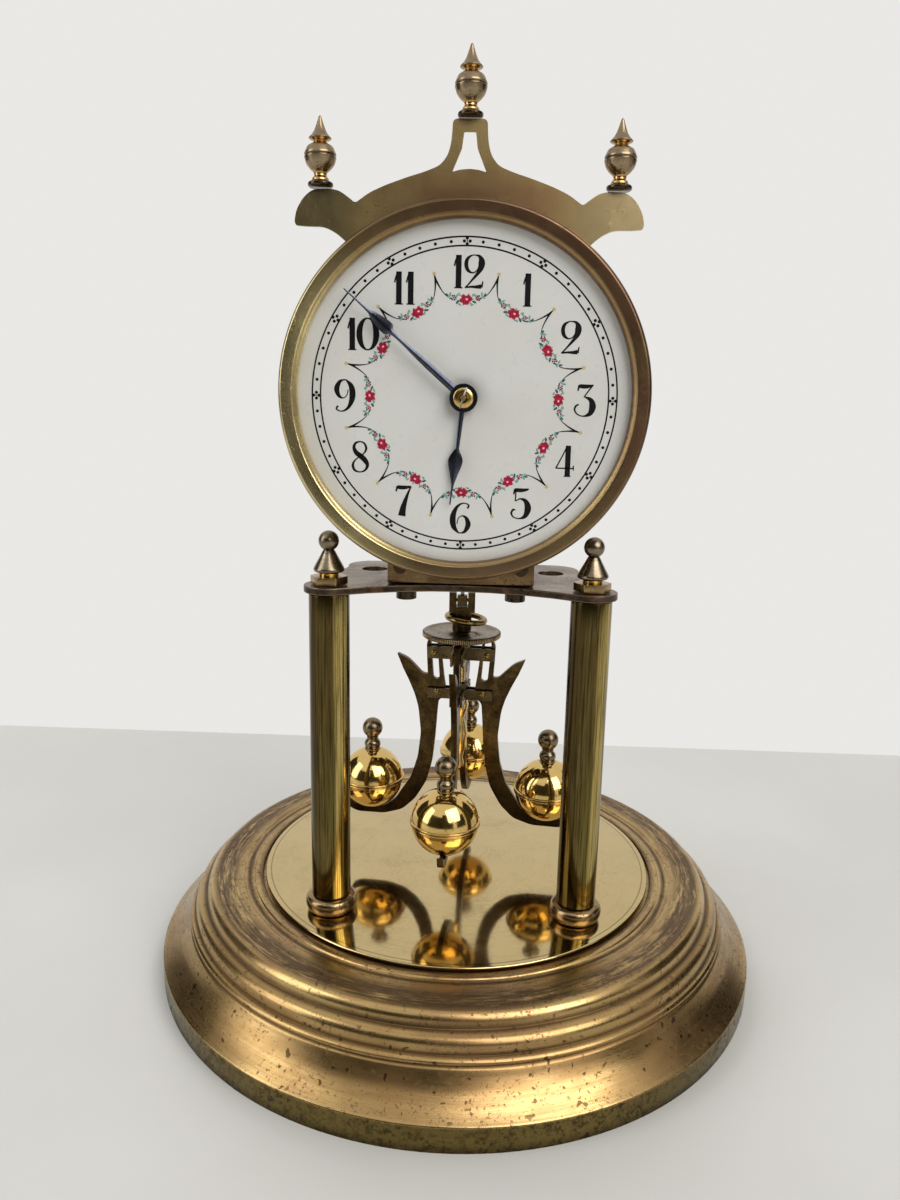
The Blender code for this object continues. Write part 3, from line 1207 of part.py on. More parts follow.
def bezel():
    """The ring round the dial: a wall behind, a flat band in front and a lip over the dial's edge."""
    room = DIAL_RADIUS + FIT_GAP
    seat = DIAL_FRONT + FIT_GAP
    depth = BEZEL_FRONT_DEPTH - BEZEL_BACK_DEPTH
    width = BEZEL_RADIUS - BEZEL_SIGHT_RADIUS
    face = scaled(BEZEL_FACE_SHARES, width, depth, BEZEL_BACK_DEPTH)
    profile = [(room, BEZEL_BACK_DEPTH), (BEZEL_RADIUS, BEZEL_BACK_DEPTH)]
    profile += [(BEZEL_SIGHT_RADIUS + across, height) for across, height in face]
    profile += [(BEZEL_SIGHT_RADIUS, seat), (room, seat)]
    add("bezel", facing(turned(profile, FINE_SIDES)), aged_brass(), (0.0, 0.0, BEZEL_Z))


def hand(name, shares, length, bore, angle, depth):
    """A hand with a round hub, a long neck, a leaf and a fine tip."""
    leaf = [(u * HAND_HUB_RADIUS, v * length) for u, v in shares]
    outline = [(-x, y) for x, y in leaf] + leaf[::-1]
    hub = flat(circle(HAND_HUB_RADIUS, MIDDLE_SIDES), depth, depth + HAND_THICKNESS)
    blade = flat(outline, depth, depth + HAND_THICKNESS)
    hole = rod(bore, depth - CUT_OVERRUN, depth + HAND_THICKNESS + CUT_OVERRUN)
    solid = placed(cut(joined(hub, blade), hole), turn_about("Z", -angle))
    add(name, facing(solid), blued_steel(), (0.0, 0.0, MOVE_Z))


def hand_pin_depth():
    """The depth of the taper pin's axis, just clear of the washer."""
    return MINUTE_HAND_DEPTH + HAND_THICKNESS + FIT_GAP + WASHER_THICKNESS + FIT_GAP + HAND_PIN_RADIUS


def hands():
    pipe = CENTRE_PIPE_RADIUS + FIT_GAP
    hand("hour_hand", HOUR_HAND_SHARES, HOUR_HAND_LENGTH, pipe + CANNON_PIPE_WALL + FIT_GAP,
         HOUR_HAND_ANGLE, HOUR_HAND_DEPTH)
    hand("minute_hand", MINUTE_HAND_SHARES, MINUTE_HAND_LENGTH, pipe, MINUTE_HAND_ANGLE, MINUTE_HAND_DEPTH)
    seat = MINUTE_HAND_DEPTH + HAND_THICKNESS + FIT_GAP
    hole = circle(pipe, SMALL_SIDES)
    washer = flat(circle(WASHER_RADIUS, MIDDLE_SIDES), seat, seat + WASHER_THICKNESS, [hole])
    add("hand_washer", facing(washer), polished_brass(), (0.0, 0.0, MOVE_Z))
    pin = rod(HAND_PIN_RADIUS, -HAND_PIN_LENGTH / 2, HAND_PIN_LENGTH / 2, 6)
    placed(pin, turn_about("X", math.pi / 2), (0.0, 0.0, hand_pin_depth()))
    add("hand_pin", facing(pin), movement_brass(), (0.0, 0.0, MOVE_Z))


def crest():
    """The pierced plate above the bezel, with an ear on each side and a slotted tower."""
    rise = CREST_TOWER_Z - MOVE_Z
    right = scaled(CREST_HALF_SHARES, CREST_EAR_X, rise, MOVE_Z)
    low = right[-1]
    reach = math.asin(low[0] / math.hypot(low[0], low[1] - BEZEL_Z))
    steps = range(CREST_ARC_STEPS, -CREST_ARC_STEPS - 1, -1)
    inner = [bearing(CREST_HIDDEN_RADIUS, reach * k / CREST_ARC_STEPS) for k in steps]
    outline = right + [(x, z + BEZEL_Z) for x, z in inner] + [(-x, z) for x, z in reversed(right)]
    slot = scaled(CREST_SLOT_SHARES, CREST_EAR_X, rise, MOVE_Z)
    add("crest", facing(flat(outline, CREST_DEPTH, CREST_DEPTH + CREST_THICKNESS, [slot])), aged_brass())


def crest_finials():
    profile = [(0.0, 0.0)] + scaled(CREST_FINIAL_SHARES, CREST_FINIAL_RADIUS, CREST_FINIAL_HEIGHT)
    depth = CREST_DEPTH + CREST_THICKNESS / 2
    tops = (
        ("centre", 0.0, CREST_TOWER_Z),
        ("left", -CREST_EAR_X, CREST_EAR_Z),
        ("right", CREST_EAR_X, CREST_EAR_Z),
    )
    for label, x, z in tops:
        add("crest_finial_" + label, turned(profile, BALL_SIDES), dull_nickel(), (x, -depth, z + FIT_GAP))


def suspension_bracket():
    """A bracket behind the back plate: two legs, a head, and two cheeks that carry the top block's pin."""
    front = BACK_PLATE_DEPTH - FIT_GAP
    rear = front - BRACKET_SHEET
    inside = BRACKET_HALF_WIDTH - BRACKET_LEG_WIDTH
    outline = [
        (-BRACKET_HALF_WIDTH, BRACKET_FOOT_Z), (-inside, BRACKET_FOOT_Z), (-inside, BRACKET_HEAD_Z),
        (inside, BRACKET_HEAD_Z), (inside, BRACKET_FOOT_Z), (BRACKET_HALF_WIDTH, BRACKET_FOOT_Z),
        (BRACKET_HALF_WIDTH, BRACKET_TOP_Z), (-BRACKET_HALF_WIDTH, BRACKET_TOP_Z),
    ]
    solids = []
    cheek = TOP_BLOCK_HALF_WIDTH + FIT_GAP
    for side in (-1, 1):
        near, far = sorted((side * cheek, side * (cheek + BRACKET_CHEEK)))
        low, high = TOP_BLOCK_Z - BRACKET_SHEET, BRACKET_TOP_Z
        solids.append(box((near, -rear - JOIN_DEPTH, low), (far, BRACKET_BACK_Y, high)))
    for x, z in rivet_places():
        rivet = [
            (0.0, rear - BRACKET_SHEET / 2), (BRACKET_RIVET_HEAD_RADIUS, rear - BRACKET_SHEET / 2),
            (BRACKET_RIVET_HEAD_RADIUS, rear + JOIN_DEPTH), (BRACKET_RIVET_RADIUS, rear + JOIN_DEPTH),
            (BRACKET_RIVET_RADIUS, BACK_PLATE_FRONT), (0.0, BACK_PLATE_FRONT),
        ]
        solids.append(facing(placed(turned(rivet, TINY_SIDES), None, (x, z, 0.0))))
    pin_hole = rod(BLOCK_PIN_RADIUS + FIT_GAP, -BRACKET_HALF_WIDTH, BRACKET_HALF_WIDTH)
    placed(pin_hole, turn_about("Y", math.pi / 2), (0.0, 0.0, TOP_BLOCK_Z + TOP_BLOCK_HEIGHT / 2))
    solid = joined(facing(flat(outline, rear, front)), *solids)
    add("suspension_bracket", cut(solid, pin_hole), movement_brass())


def top_block():
    """The block clamped on the spring's upper end, hung by its pin."""
    top = TOP_BLOCK_Z + TOP_BLOCK_HEIGHT
    body = box(
        (-TOP_BLOCK_HALF_WIDTH, -TOP_BLOCK_HALF_DEPTH, TOP_BLOCK_Z),
        (TOP_BLOCK_HALF_WIDTH, TOP_BLOCK_HALF_DEPTH, top),
    )
    reach = TOP_BLOCK_HALF_WIDTH + FIT_GAP + BRACKET_CHEEK + FIT_GAP
    pin = rod(BLOCK_PIN_RADIUS, -reach, reach, TINY_SIDES)
    placed(pin, turn_about("Y", math.pi / 2), (0.0, 0.0, TOP_BLOCK_Z + TOP_BLOCK_HEIGHT / 2))
    room = strip_room(TOP_BLOCK_Z - CUT_OVERRUN, TOP_BLOCK_Z + STRIP_GRIP)
    add("top_block", cut(joined(body, pin), room), movement_brass())


def bottom_block():
    """The block clamped on the spring's lower end, whose pin rests in the hook."""
    top = BLOCK_Z + BLOCK_HEIGHT
    body = box((-BLOCK_HALF_WIDTH, -BLOCK_HALF_DEPTH, BLOCK_Z), (BLOCK_HALF_WIDTH, BLOCK_HALF_DEPTH, top))
    pin = rod(BLOCK_PIN_RADIUS, -BLOCK_PIN_HALF_LENGTH, BLOCK_PIN_HALF_LENGTH, TINY_SIDES)
    placed(pin, turn_about("Y", math.pi / 2), (0.0, 0.0, BLOCK_Z + BLOCK_PIN_RISE))
    room = strip_room(top - STRIP_GRIP, top + CUT_OVERRUN)
    add("bottom_block", cut(joined(body, pin), room), movement_brass())


def suspension_spring():
    low = BLOCK_Z + BLOCK_HEIGHT - STRIP_GRIP + FIT_GAP
    high = TOP_BLOCK_Z + STRIP_GRIP - FIT_GAP
    strip = box(
        (-STRIP_HALF_WIDTH, -STRIP_HALF_THICKNESS, low), (STRIP_HALF_WIDTH, STRIP_HALF_THICKNESS, high)
    )
    add("suspension_spring", strip, steel())


def ring_mesh(wire):
    """The hook's ring with this wire radius, in its place."""
    profile = circle(wire, SMALL_SIDES, (RING_RADIUS, 0.0))
    return placed(turned(profile, MIDDLE_SIDES), turn_about("Y", RING_TILT), (RING_SHIFT, 0.0, RING_Z))


def pendulum_hook():
    """The hook with its stem, the long core rod through the crosses, and the baluster at its foot."""
    block = box(
        (-HOOK_HALF_WIDTH, -HOOK_HALF_DEPTH, HOOK_BLOCK_Z), (HOOK_HALF_WIDTH, HOOK_HALF_DEPTH, HOOK_TOP_Z)
    )
    slot_half = BLOCK_HALF_WIDTH + FIT_GAP
    over = HOOK_HALF_DEPTH + CUT_OVERRUN
    slot = box((-slot_half, -over, HOOK_SLOT_Z), (slot_half, over, HOOK_TOP_Z + CUT_OVERRUN))
    notch_half = BLOCK_PIN_RADIUS + FIT_GAP
    notch_reach = BLOCK_PIN_HALF_LENGTH + FIT_GAP
    notch = box(
        (-notch_reach, -notch_half, BLOCK_Z + BLOCK_PIN_RISE - notch_half),
        (notch_reach, notch_half, HOOK_TOP_Z + CUT_OVERRUN),
    )
    profile = [
        (0.0, HOOK_BLOCK_Z + JOIN_DEPTH), (STEM_RADIUS, HOOK_BLOCK_Z + JOIN_DEPTH),
        (STEM_RADIUS, STEM_FOOT_Z), (ROD_RADIUS, STEM_FOOT_Z), (ROD_RADIUS, BALUSTER_TOP_Z),
    ]
    height = BALUSTER_TOP_Z - BALUSTER_FOOT_Z
    profile += scaled(BALUSTER_SHARES, BALUSTER_RADIUS, height, BALUSTER_FOOT_Z)
    spot = polar(RING_RADIUS, RING_LUG_ANGLE)
    spot = (spot[0] + RING_SHIFT, spot[1])
    way = math.atan2(spot[1], spot[0])
    reach = math.hypot(*spot) + RING_LUG_HALF
    lug = box(
        (STEM_RADIUS / 2, -RING_LUG_THICKNESS / 2, RING_Z - RING_LUG_HALF),
        (reach, RING_LUG_THICKNESS / 2, RING_Z + RING_LUG_HALF),
    )
    lug = placed(lug, turn_about("Z", way))
    solid = joined(cut(block, slot, notch), turned(profile, MIDDLE_SIDES), lug)
    add("pendulum_hook", cut(solid, ring_mesh(RING_WIRE + FIT_GAP)), dark_bronze())


def hook_ring():
    add("hook_ring", ring_mesh(RING_WIRE), polished_brass())


def rating_disc():
    """The knurled disc and its threaded sleeve, which turn on the core rod."""
    bore = ROD_RADIUS + FIT_GAP
    top = DISC_FOOT_Z + RATING_DISC_THICKNESS
    edge = RATING_DISC_THICKNESS / 6
    profile = [
        (bore, SLEEVE_FOOT_Z), (SLEEVE_RADIUS, SLEEVE_FOOT_Z), (SLEEVE_RADIUS, DISC_FOOT_Z),
        (RATING_DISC_RADIUS - edge, DISC_FOOT_Z), (RATING_DISC_RADIUS, DISC_FOOT_Z + edge),
        (RATING_DISC_RADIUS, top - edge), (RATING_DISC_RADIUS - edge, top), (bore, top),
    ]
    add("rating_disc", turned(profile, FINE_SIDES), dull_nickel())


def cross(name, hub, bore, low, height, hub_top, reach, pin_reach, pin_rise):
    """Four forks round a hub, each with a pin across its two cheeks."""
    solids = [turned([(0.0, low), (hub, low), (hub, hub_top), (0.0, hub_top)], SMALL_SIDES)]
    inner = ARM_THICKNESS / 2 + CHEEK_GAP
    outer = inner + CHEEK_THICKNESS
    for k in range(ARM_COUNT):
        turn = turn_about("Z", arm_angle(k))
        for side in (-1, 1):
            near, far = sorted((side * inner, side * outer))
            cheek = box((hub / 2, near, low), (reach, far, low + height))
            solids.append(placed(cheek, turn))
        pin = rod(CROSS_PIN_RADIUS, -outer + JOIN_DEPTH, outer - JOIN_DEPTH, TINY_SIDES)
        placed(pin, turn_about("X", math.pi / 2), (pin_reach, 0.0, low + pin_rise))
        solids.append(placed(pin, turn))
    solid = joined(*solids)
    hole = rod(bore, low - CUT_OVERRUN, hub_top + CUT_OVERRUN)
    return add(name, cut(solid, hole), dark_bronze())


def crosses():
    upper_top = UPPER_CROSS_Z + UPPER_CROSS_HEIGHT
    cross("upper_cross", UPPER_HUB_RADIUS, SLEEVE_RADIUS + FIT_GAP, UPPER_CROSS_Z, UPPER_CROSS_HEIGHT,
          upper_top, UPPER_CROSS_REACH, UPPER_PIN_REACH, UPPER_PIN_RISE)
    cross("lower_cross", LOWER_HUB_RADIUS, ROD_RADIUS + FIT_GAP, LOWER_CROSS_Z, LOWER_CROSS_HEIGHT,
          LOWER_HUB_TOP_Z, LOWER_CROSS_REACH, LOWER_PIN_REACH, LOWER_PIN_RISE)


def arm_angle(k):
    """The direction of one arm from the centre, the front arm first."""
    return PENDULUM_TURN - math.pi / 2 + math.tau * k / ARM_COUNT


def arm_mesh():
    """An arm in the plane of its radius: X outwards, Z up, its pivot at the origin."""
    rise = LOWER_PIN_Z - BALL_Z
    outline = [(x - LOWER_PIN_REACH, z) for x, z in scaled(ARM_SHARES, BALL_ORBIT, rise, -rise)]
    low, high = [(x - LOWER_PIN_REACH, z) for x, z in scaled(ARM_SLOT_SHARES, BALL_ORBIT, rise, -rise)]
    way = toward(low, high)
    slot = arc(high, ARM_SLOT_HALF_WIDTH, way - math.pi / 2, way + math.pi / 2, 4)
    slot += arc(low, ARM_SLOT_HALF_WIDTH, way + math.pi / 2, way + math.pi * 3 / 2, 4)
    pivot = circle(CROSS_PIN_RADIUS + FIT_GAP, TINY_SIDES)
    half = ARM_THICKNESS / 2
    return facing(flat(outline, -half, half, [slot, pivot]))


def ball_mesh():
    """A ball with its equator lip and its knob, centred on the ball."""
    flat_z = -math.sqrt(BALL_RADIUS**2 - (BALL_SEAT_FLAT / 2) ** 2)
    profile = [(0.0, flat_z), (BALL_SEAT_FLAT / 2, flat_z)]
    profile += arc((0.0, 0.0), BALL_RADIUS, math.radians(-60), math.radians(-4), 4)
    profile += [(BALL_RADIUS + BALL_LIP, -BALL_LIP), (BALL_RADIUS + BALL_LIP, BALL_LIP)]
    profile += arc((0.0, 0.0), BALL_RADIUS, math.radians(4), math.radians(78), 4)
    rise = BALL_KNOB_Z - BALL_Z
    profile += [(u * BALL_KNOB_RADIUS, v * rise) for u, v in KNOB_SHARES]
    profile += arc((0.0, rise), BALL_KNOB_RADIUS, math.radians(-50), math.radians(60), 3)
    profile.append((0.0, rise + BALL_KNOB_RADIUS))
    return turned(profile, BALL_SIDES)


def arms_and_balls():
    for k, label in enumerate(("front", "right", "back", "left")):
        angle = arm_angle(k)
        pivot = (LOWER_PIN_REACH * math.cos(angle), LOWER_PIN_REACH * math.sin(angle), LOWER_PIN_Z)
        add("arm_" + label, arm_mesh(), dark_bronze(), pivot, turn_about("Z", angle))
        spot = (BALL_ORBIT * math.cos(angle), BALL_ORBIT * math.sin(angle), BALL_Z)
        add("ball_" + label, ball_mesh(), polished_brass(), spot)


def main():
    for item in list(bpy.data.objects):
        bpy.data.objects.remove(item)
    base_shell()
    base_disc()
    for side, label in ((-1, "left"), (1, "right")):
        pillar_stack(side, label)
    platform()
    seat_bracket()
    seat_screws()
    front_plate()
    back_plate()
    going_train()
    click()
    anchor()
    fork()
    motion_work()
    dial()
    bezel()
    hands()
    crest()
    crest_finials()
    suspension_bracket()
    top_block()
    bottom_block()
    suspension_spring()
    pendulum_hook()
    hook_ring()
    rating_disc()
    crosses()
    arms_and_balls()


main()
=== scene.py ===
"""Looks of the anniversary clock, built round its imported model. Metres, +Z up, the dial faces -Y."""

import functools
import json
import math
import random

import bmesh
import bpy
from mathutils import Matrix, Vector


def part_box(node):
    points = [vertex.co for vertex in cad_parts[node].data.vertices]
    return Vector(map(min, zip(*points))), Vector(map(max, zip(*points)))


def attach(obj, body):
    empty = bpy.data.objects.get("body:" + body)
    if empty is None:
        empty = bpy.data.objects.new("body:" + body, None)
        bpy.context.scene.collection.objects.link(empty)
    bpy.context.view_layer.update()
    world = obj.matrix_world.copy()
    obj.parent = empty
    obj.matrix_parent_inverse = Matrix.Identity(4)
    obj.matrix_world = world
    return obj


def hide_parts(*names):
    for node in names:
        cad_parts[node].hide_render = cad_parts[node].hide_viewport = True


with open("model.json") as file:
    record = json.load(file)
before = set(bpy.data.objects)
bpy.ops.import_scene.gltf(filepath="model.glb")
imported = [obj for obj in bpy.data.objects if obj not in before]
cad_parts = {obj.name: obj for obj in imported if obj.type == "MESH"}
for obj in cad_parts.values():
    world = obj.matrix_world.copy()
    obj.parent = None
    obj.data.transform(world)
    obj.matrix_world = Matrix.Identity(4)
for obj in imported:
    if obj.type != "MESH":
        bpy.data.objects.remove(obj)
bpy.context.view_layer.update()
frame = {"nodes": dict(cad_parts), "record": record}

MM = 0.001
SEED = 7

# Camera: the photograph's own lens and place
IMAGE_HEIGHT = 1200
FOCAL_PIXELS = 904.526
SENSOR = 36.0
CAMERA_PLACE = (6.351 * MM, -287.154 * MM, 180.397 * MM)
CAMERA_PITCH = math.radians(-12.080)
CAMERA_YAW = math.radians(2.072)
CAMERA_ROLL = math.radians(-1.187)

FLOOR_END = 185 * MM
FLOOR_HALF = 3.0
LAMP_TARGET = (0.0, 0.0, 0.13)

# Cards for metal to mirror, as (start, end, top): degrees from the front, and metres
CARDS = ((-124, -80, 1.3), (-60, -10, 1.1), (-10, 30, 1.5), (42, 76, 1.0), (82, 126, 1.3))
CARD_RADIUS = 1.5
CARD_FOOT = 0.02

RECORD = frame["record"]
BODY_OF = {node: body for body, nodes in RECORD["behaviour"]["bodies"].items() for node in nodes}

# Lengths under this one count as nothing
TINY = 1e-7

# Steps round turned pieces of three sizes
LARGE_STEPS = 256
MIDDLE_STEPS = 96
SMALL_STEPS = 48


def low(node):
    """The lowest corner of a node's box."""
    return Vector(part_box(node)[0])


def high(node):
    """The highest corner of a node's box."""
    return Vector(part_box(node)[1])


def middle(node):
    """The middle of a node's box."""
    return (low(node) + high(node)) / 2


def half_width(node):
    """Half of a node's width from left to right."""
    return (high(node).x - low(node).x) / 2


def height_of(node):
    """A node's height."""
    return high(node).z - low(node).z


def srgb(red, green, blue):
    """A colour as it looks on screen, from 0 to 255, as the linear values that a shader takes."""
    def linear(value):
        share = value / 255
        return share / 12.92 if share <= 0.04045 else ((share + 0.055) / 1.055) ** 2.4
    return (linear(red), linear(green), linear(blue), 1.0)


# Curves


def catmull(points, steps):
    """A smooth curve through the points, which may carry any number of values each."""
    last = len(points) - 1
    result = []
    for k in range(last):
        a, b, c, d = points[max(k - 1, 0)], points[k], points[k + 1], points[min(k + 2, last)]
        for step in range(steps):
            t = step / steps
            result.append(tuple(
                0.5 * (2 * q + (r - p) * t + (2 * p - 5 * q + 4 * r - s) * t * t
                       + (3 * q - p - 3 * r + s) * t**3)
                for p, q, r, s in zip(a, b, c, d)
            ))
    return result + [tuple(points[-1])]


def softened(points, radius, steps=4, closed=False):
    """A polyline whose corners are rounded, each by at most this radius, or by its own one from a list."""
    count = len(points)
    result = []
    for k, point in enumerate(points):
        if not closed and k in (0, count - 1):
            result.append(tuple(point))
            continue
        here = Vector(point)
        before = Vector(points[k - 1]) - here
        after = Vector(points[(k + 1) % count]) - here
        most = radius[k] if isinstance(radius, list) else radius
        reach = min(most, before.length * 0.45, after.length * 0.45)
        if reach < TINY:
            result.append(tuple(point))
            continue
        start = here + before.normalized() * reach
        end = here + after.normalized() * reach
        for step in range(steps + 1):
            t = step / steps
            result.append(tuple(start * (1 - t) ** 2 + here * 2 * t * (1 - t) + end * t * t))
    return result


def scaled(table, width, height, base=0.0):
    """A table of shares as points of this width and height."""
    return [(u * width, base + v * height) for u, v in table]


def polar(radius, angle):
    """The point at this radius and angle."""
    return (radius * math.cos(angle), radius * math.sin(angle))


def arc(centre, radius, start, end, steps):
    """Points along a circular arc, both ends included, with angles in degrees."""
    turns = [math.radians(start + (end - start) * k / steps) for k in range(steps + 1)]
    return [(centre[0] + radius * math.cos(t), centre[1] + radius * math.sin(t)) for t in turns]


def clock_point(radius, degrees):
    """The point on the dial at this radius, with the angle counted clockwise from the top."""
    turn = math.radians(degrees)
    return (radius * math.sin(turn), radius * math.cos(turn))


# Meshes


def in_scene(name, data):
    """A new object in the scene."""
    item = bpy.data.objects.new(name, data)
    bpy.context.scene.collection.objects.link(item)
    return item


def flat_object(name, bm, material):
    """A new object from a bmesh, with flat faces."""
    mesh = bpy.data.meshes.new(name)
    bm.to_mesh(mesh)
    bm.free()
    mesh.materials.append(material)
    return in_scene(name, mesh)


def mesh_object(name, bm, material, sharp=35, flat_axis=None):
    """A new object from a bmesh, smooth except along its sharp edges and on faces square to the flat axis."""
    bmesh.ops.remove_doubles(bm, verts=bm.verts, dist=TINY)
    bmesh.ops.recalc_face_normals(bm, faces=bm.faces)
    item = flat_object(name, bm, material)
    item.data.shade_smooth()
    item.data.set_sharp_from_angle(angle=math.radians(sharp))
    if flat_axis is not None:
        for face in item.data.polygons:
            if abs(face.normal[flat_axis]) > 0.9995:
                face.use_smooth = False
    return item


def join_rings(bm, rings, closed=False):
    """Faces between each ring of corners and the next, where a ring may be a single corner."""
    for first, second in zip(rings, rings[1:] + rings[:1] if closed else rings[1:]):
        if len(first) == 1 and len(second) == 1:
            continue
        for k in range(max(len(first), len(second))):
            corners = [first[k % len(first)], first[(k + 1) % len(first)]]
            corners += [second[(k + 1) % len(second)], second[k % len(second)]]
            corners = list(dict.fromkeys(corners))
            if len(corners) > 2:
                bm.faces.new(corners)


def around_z(steps):
    """Even turns about Z, as angles."""
    return [math.tau * k / steps for k in range(steps)]


def lathe(profile, steps):
    """A closed profile of (radius, height) points turned about Z."""
    bm = bmesh.new()
    rings = []
    for radius, height in profile:
        turns = around_z(steps) if radius > TINY else [0.0]
        rings.append([bm.verts.new((*polar(radius, turn), height)) for turn in turns])
    join_rings(bm, rings, closed=True)
    return bm


def slab(outline, bottom, top, holes=(), bevel=0.0):
    """A flat solid with this outline and these holes between two heights, its rims bevelled."""
    bm = bmesh.new()
    edges = []
    for loop in (outline, *holes):
        corners = [bm.verts.new((x, y, bottom)) for x, y in loop]
        edges += [bm.edges.new(pair) for pair in zip(corners, corners[1:] + corners[:1])]
    bmesh.ops.triangle_fill(bm, edges=edges, use_beauty=True)
    made = bmesh.ops.extrude_face_region(bm, geom=bm.faces[:])["geom"]
    moved = [item for item in made if isinstance(item, bmesh.types.BMVert)]
    bmesh.ops.translate(bm, verts=moved, vec=(0.0, 0.0, top - bottom))
    bmesh.ops.recalc_face_normals(bm, faces=bm.faces)
    if bevel:
        rims = [edge for edge in bm.edges
                if edge.is_manifold and edge.calc_face_angle(0.0) > math.radians(60)
                and abs(edge.verts[0].co.z - edge.verts[1].co.z) < 1e-9]
        bmesh.ops.bevel(
            bm, geom=rims, offset=bevel, segments=3, profile=0.5, affect="EDGES", clamp_overlap=True
        )
    return bm


def stood_up(bm):
    """A flat shape stood up, so that its height becomes depth towards the viewer."""
    bmesh.ops.transform(bm, verts=bm.verts, matrix=Matrix.Rotation(math.pi / 2, 4, "X"))
    return bm


def merged(*shapes):
    """Several bmeshes as one."""
    whole = bmesh.new()
    for shape in shapes:
        mesh = bpy.data.meshes.new("part")
        shape.to_mesh(mesh)
        shape.free()
        whole.from_mesh(mesh)
        bpy.data.meshes.remove(mesh)
    return whole


def stands_for(item, *nodes):
    """The piece replaces these nodes and moves with the first one's body."""
    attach(item, BODY_OF[nodes[0]])
    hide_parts(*nodes)
    return item


def rides_with(item, node):
    """The piece moves with a node's body."""
    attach(item, BODY_OF[node])
    return item


def placed(item, place, turn=(0.0, 0.0, 0.0)):
    """An object put in its place and turned."""
    item.location = place
    item.rotation_euler = turn
    return item


def turned_piece(node, profile, steps, metal_name, sharp=50, place=(0.0, 0.0, 0.0), turn=(0.0, 0.0, 0.0)):
    """A lathed piece that stands for a node, with its own foot at this place."""
    item = mesh_object(node + "_fine", lathe(profile, steps), METAL[metal_name], sharp)
    return stands_for(placed(item, place, turn), node)


# Materials


class Nodes:
    """Short calls that add and link the nodes of one tree."""

    def __init__(self, tree):
        self.tree = tree

    def fill(self, socket, value):
        """Links a socket to another one, or sets its value."""
        if isinstance(value, bpy.types.NodeSocket):
            self.tree.links.new(value, socket)
        else:
            socket.default_value = value

    def node(self, kind, inputs=(), **settings):
        item = self.tree.nodes.new(kind)
        for key, value in settings.items():
            setattr(item, key, value)
        for key, value in dict(inputs).items():
            self.fill(item.inputs[key], value)
        return item

    def math(self, operation, *values):
        return self.node("ShaderNodeMath", dict(enumerate(values)), operation=operation).outputs[0]

    def times(self, *values):
        """The product of values."""
        return functools.reduce(lambda a, b: self.math("MULTIPLY", a, b), values)

    def most(self, *values):
        """The largest of values."""
        return functools.reduce(lambda a, b: self.math("MAXIMUM", a, b), values)

    def plus(self, first, second):
        return self.math("ADD", first, second)

    def off(self, value, centre):
        """How far a value is from a centre."""
        return self.math("ABSOLUTE", self.math("SUBTRACT", value, centre))

    def split(self, vector):
        return self.node("ShaderNodeSeparateXYZ", {0: vector}).outputs

    def mix(self, share, first, second, blend="MIX"):
        """Two colours mixed."""
        item = self.node("ShaderNodeMix", (), data_type="RGBA", blend_type=blend, clamp_factor=True)
        for place, value in ((0, share), (6, first), (7, second)):
            self.fill(item.inputs[place], value)
        return item.outputs[2]

    def ramp(self, value, stops):
        """A colour ramp with (place, red, green, blue) stops."""
        item = self.node("ShaderNodeValToRGB", {0: value})
        elements = item.color_ramp.elements
        while len(elements) < len(stops):
            elements.new(1.0)
        for element, (place, *colour) in zip(elements, stops):
            element.position = place
            element.color = (*colour, 1.0)
        return item.outputs[0]


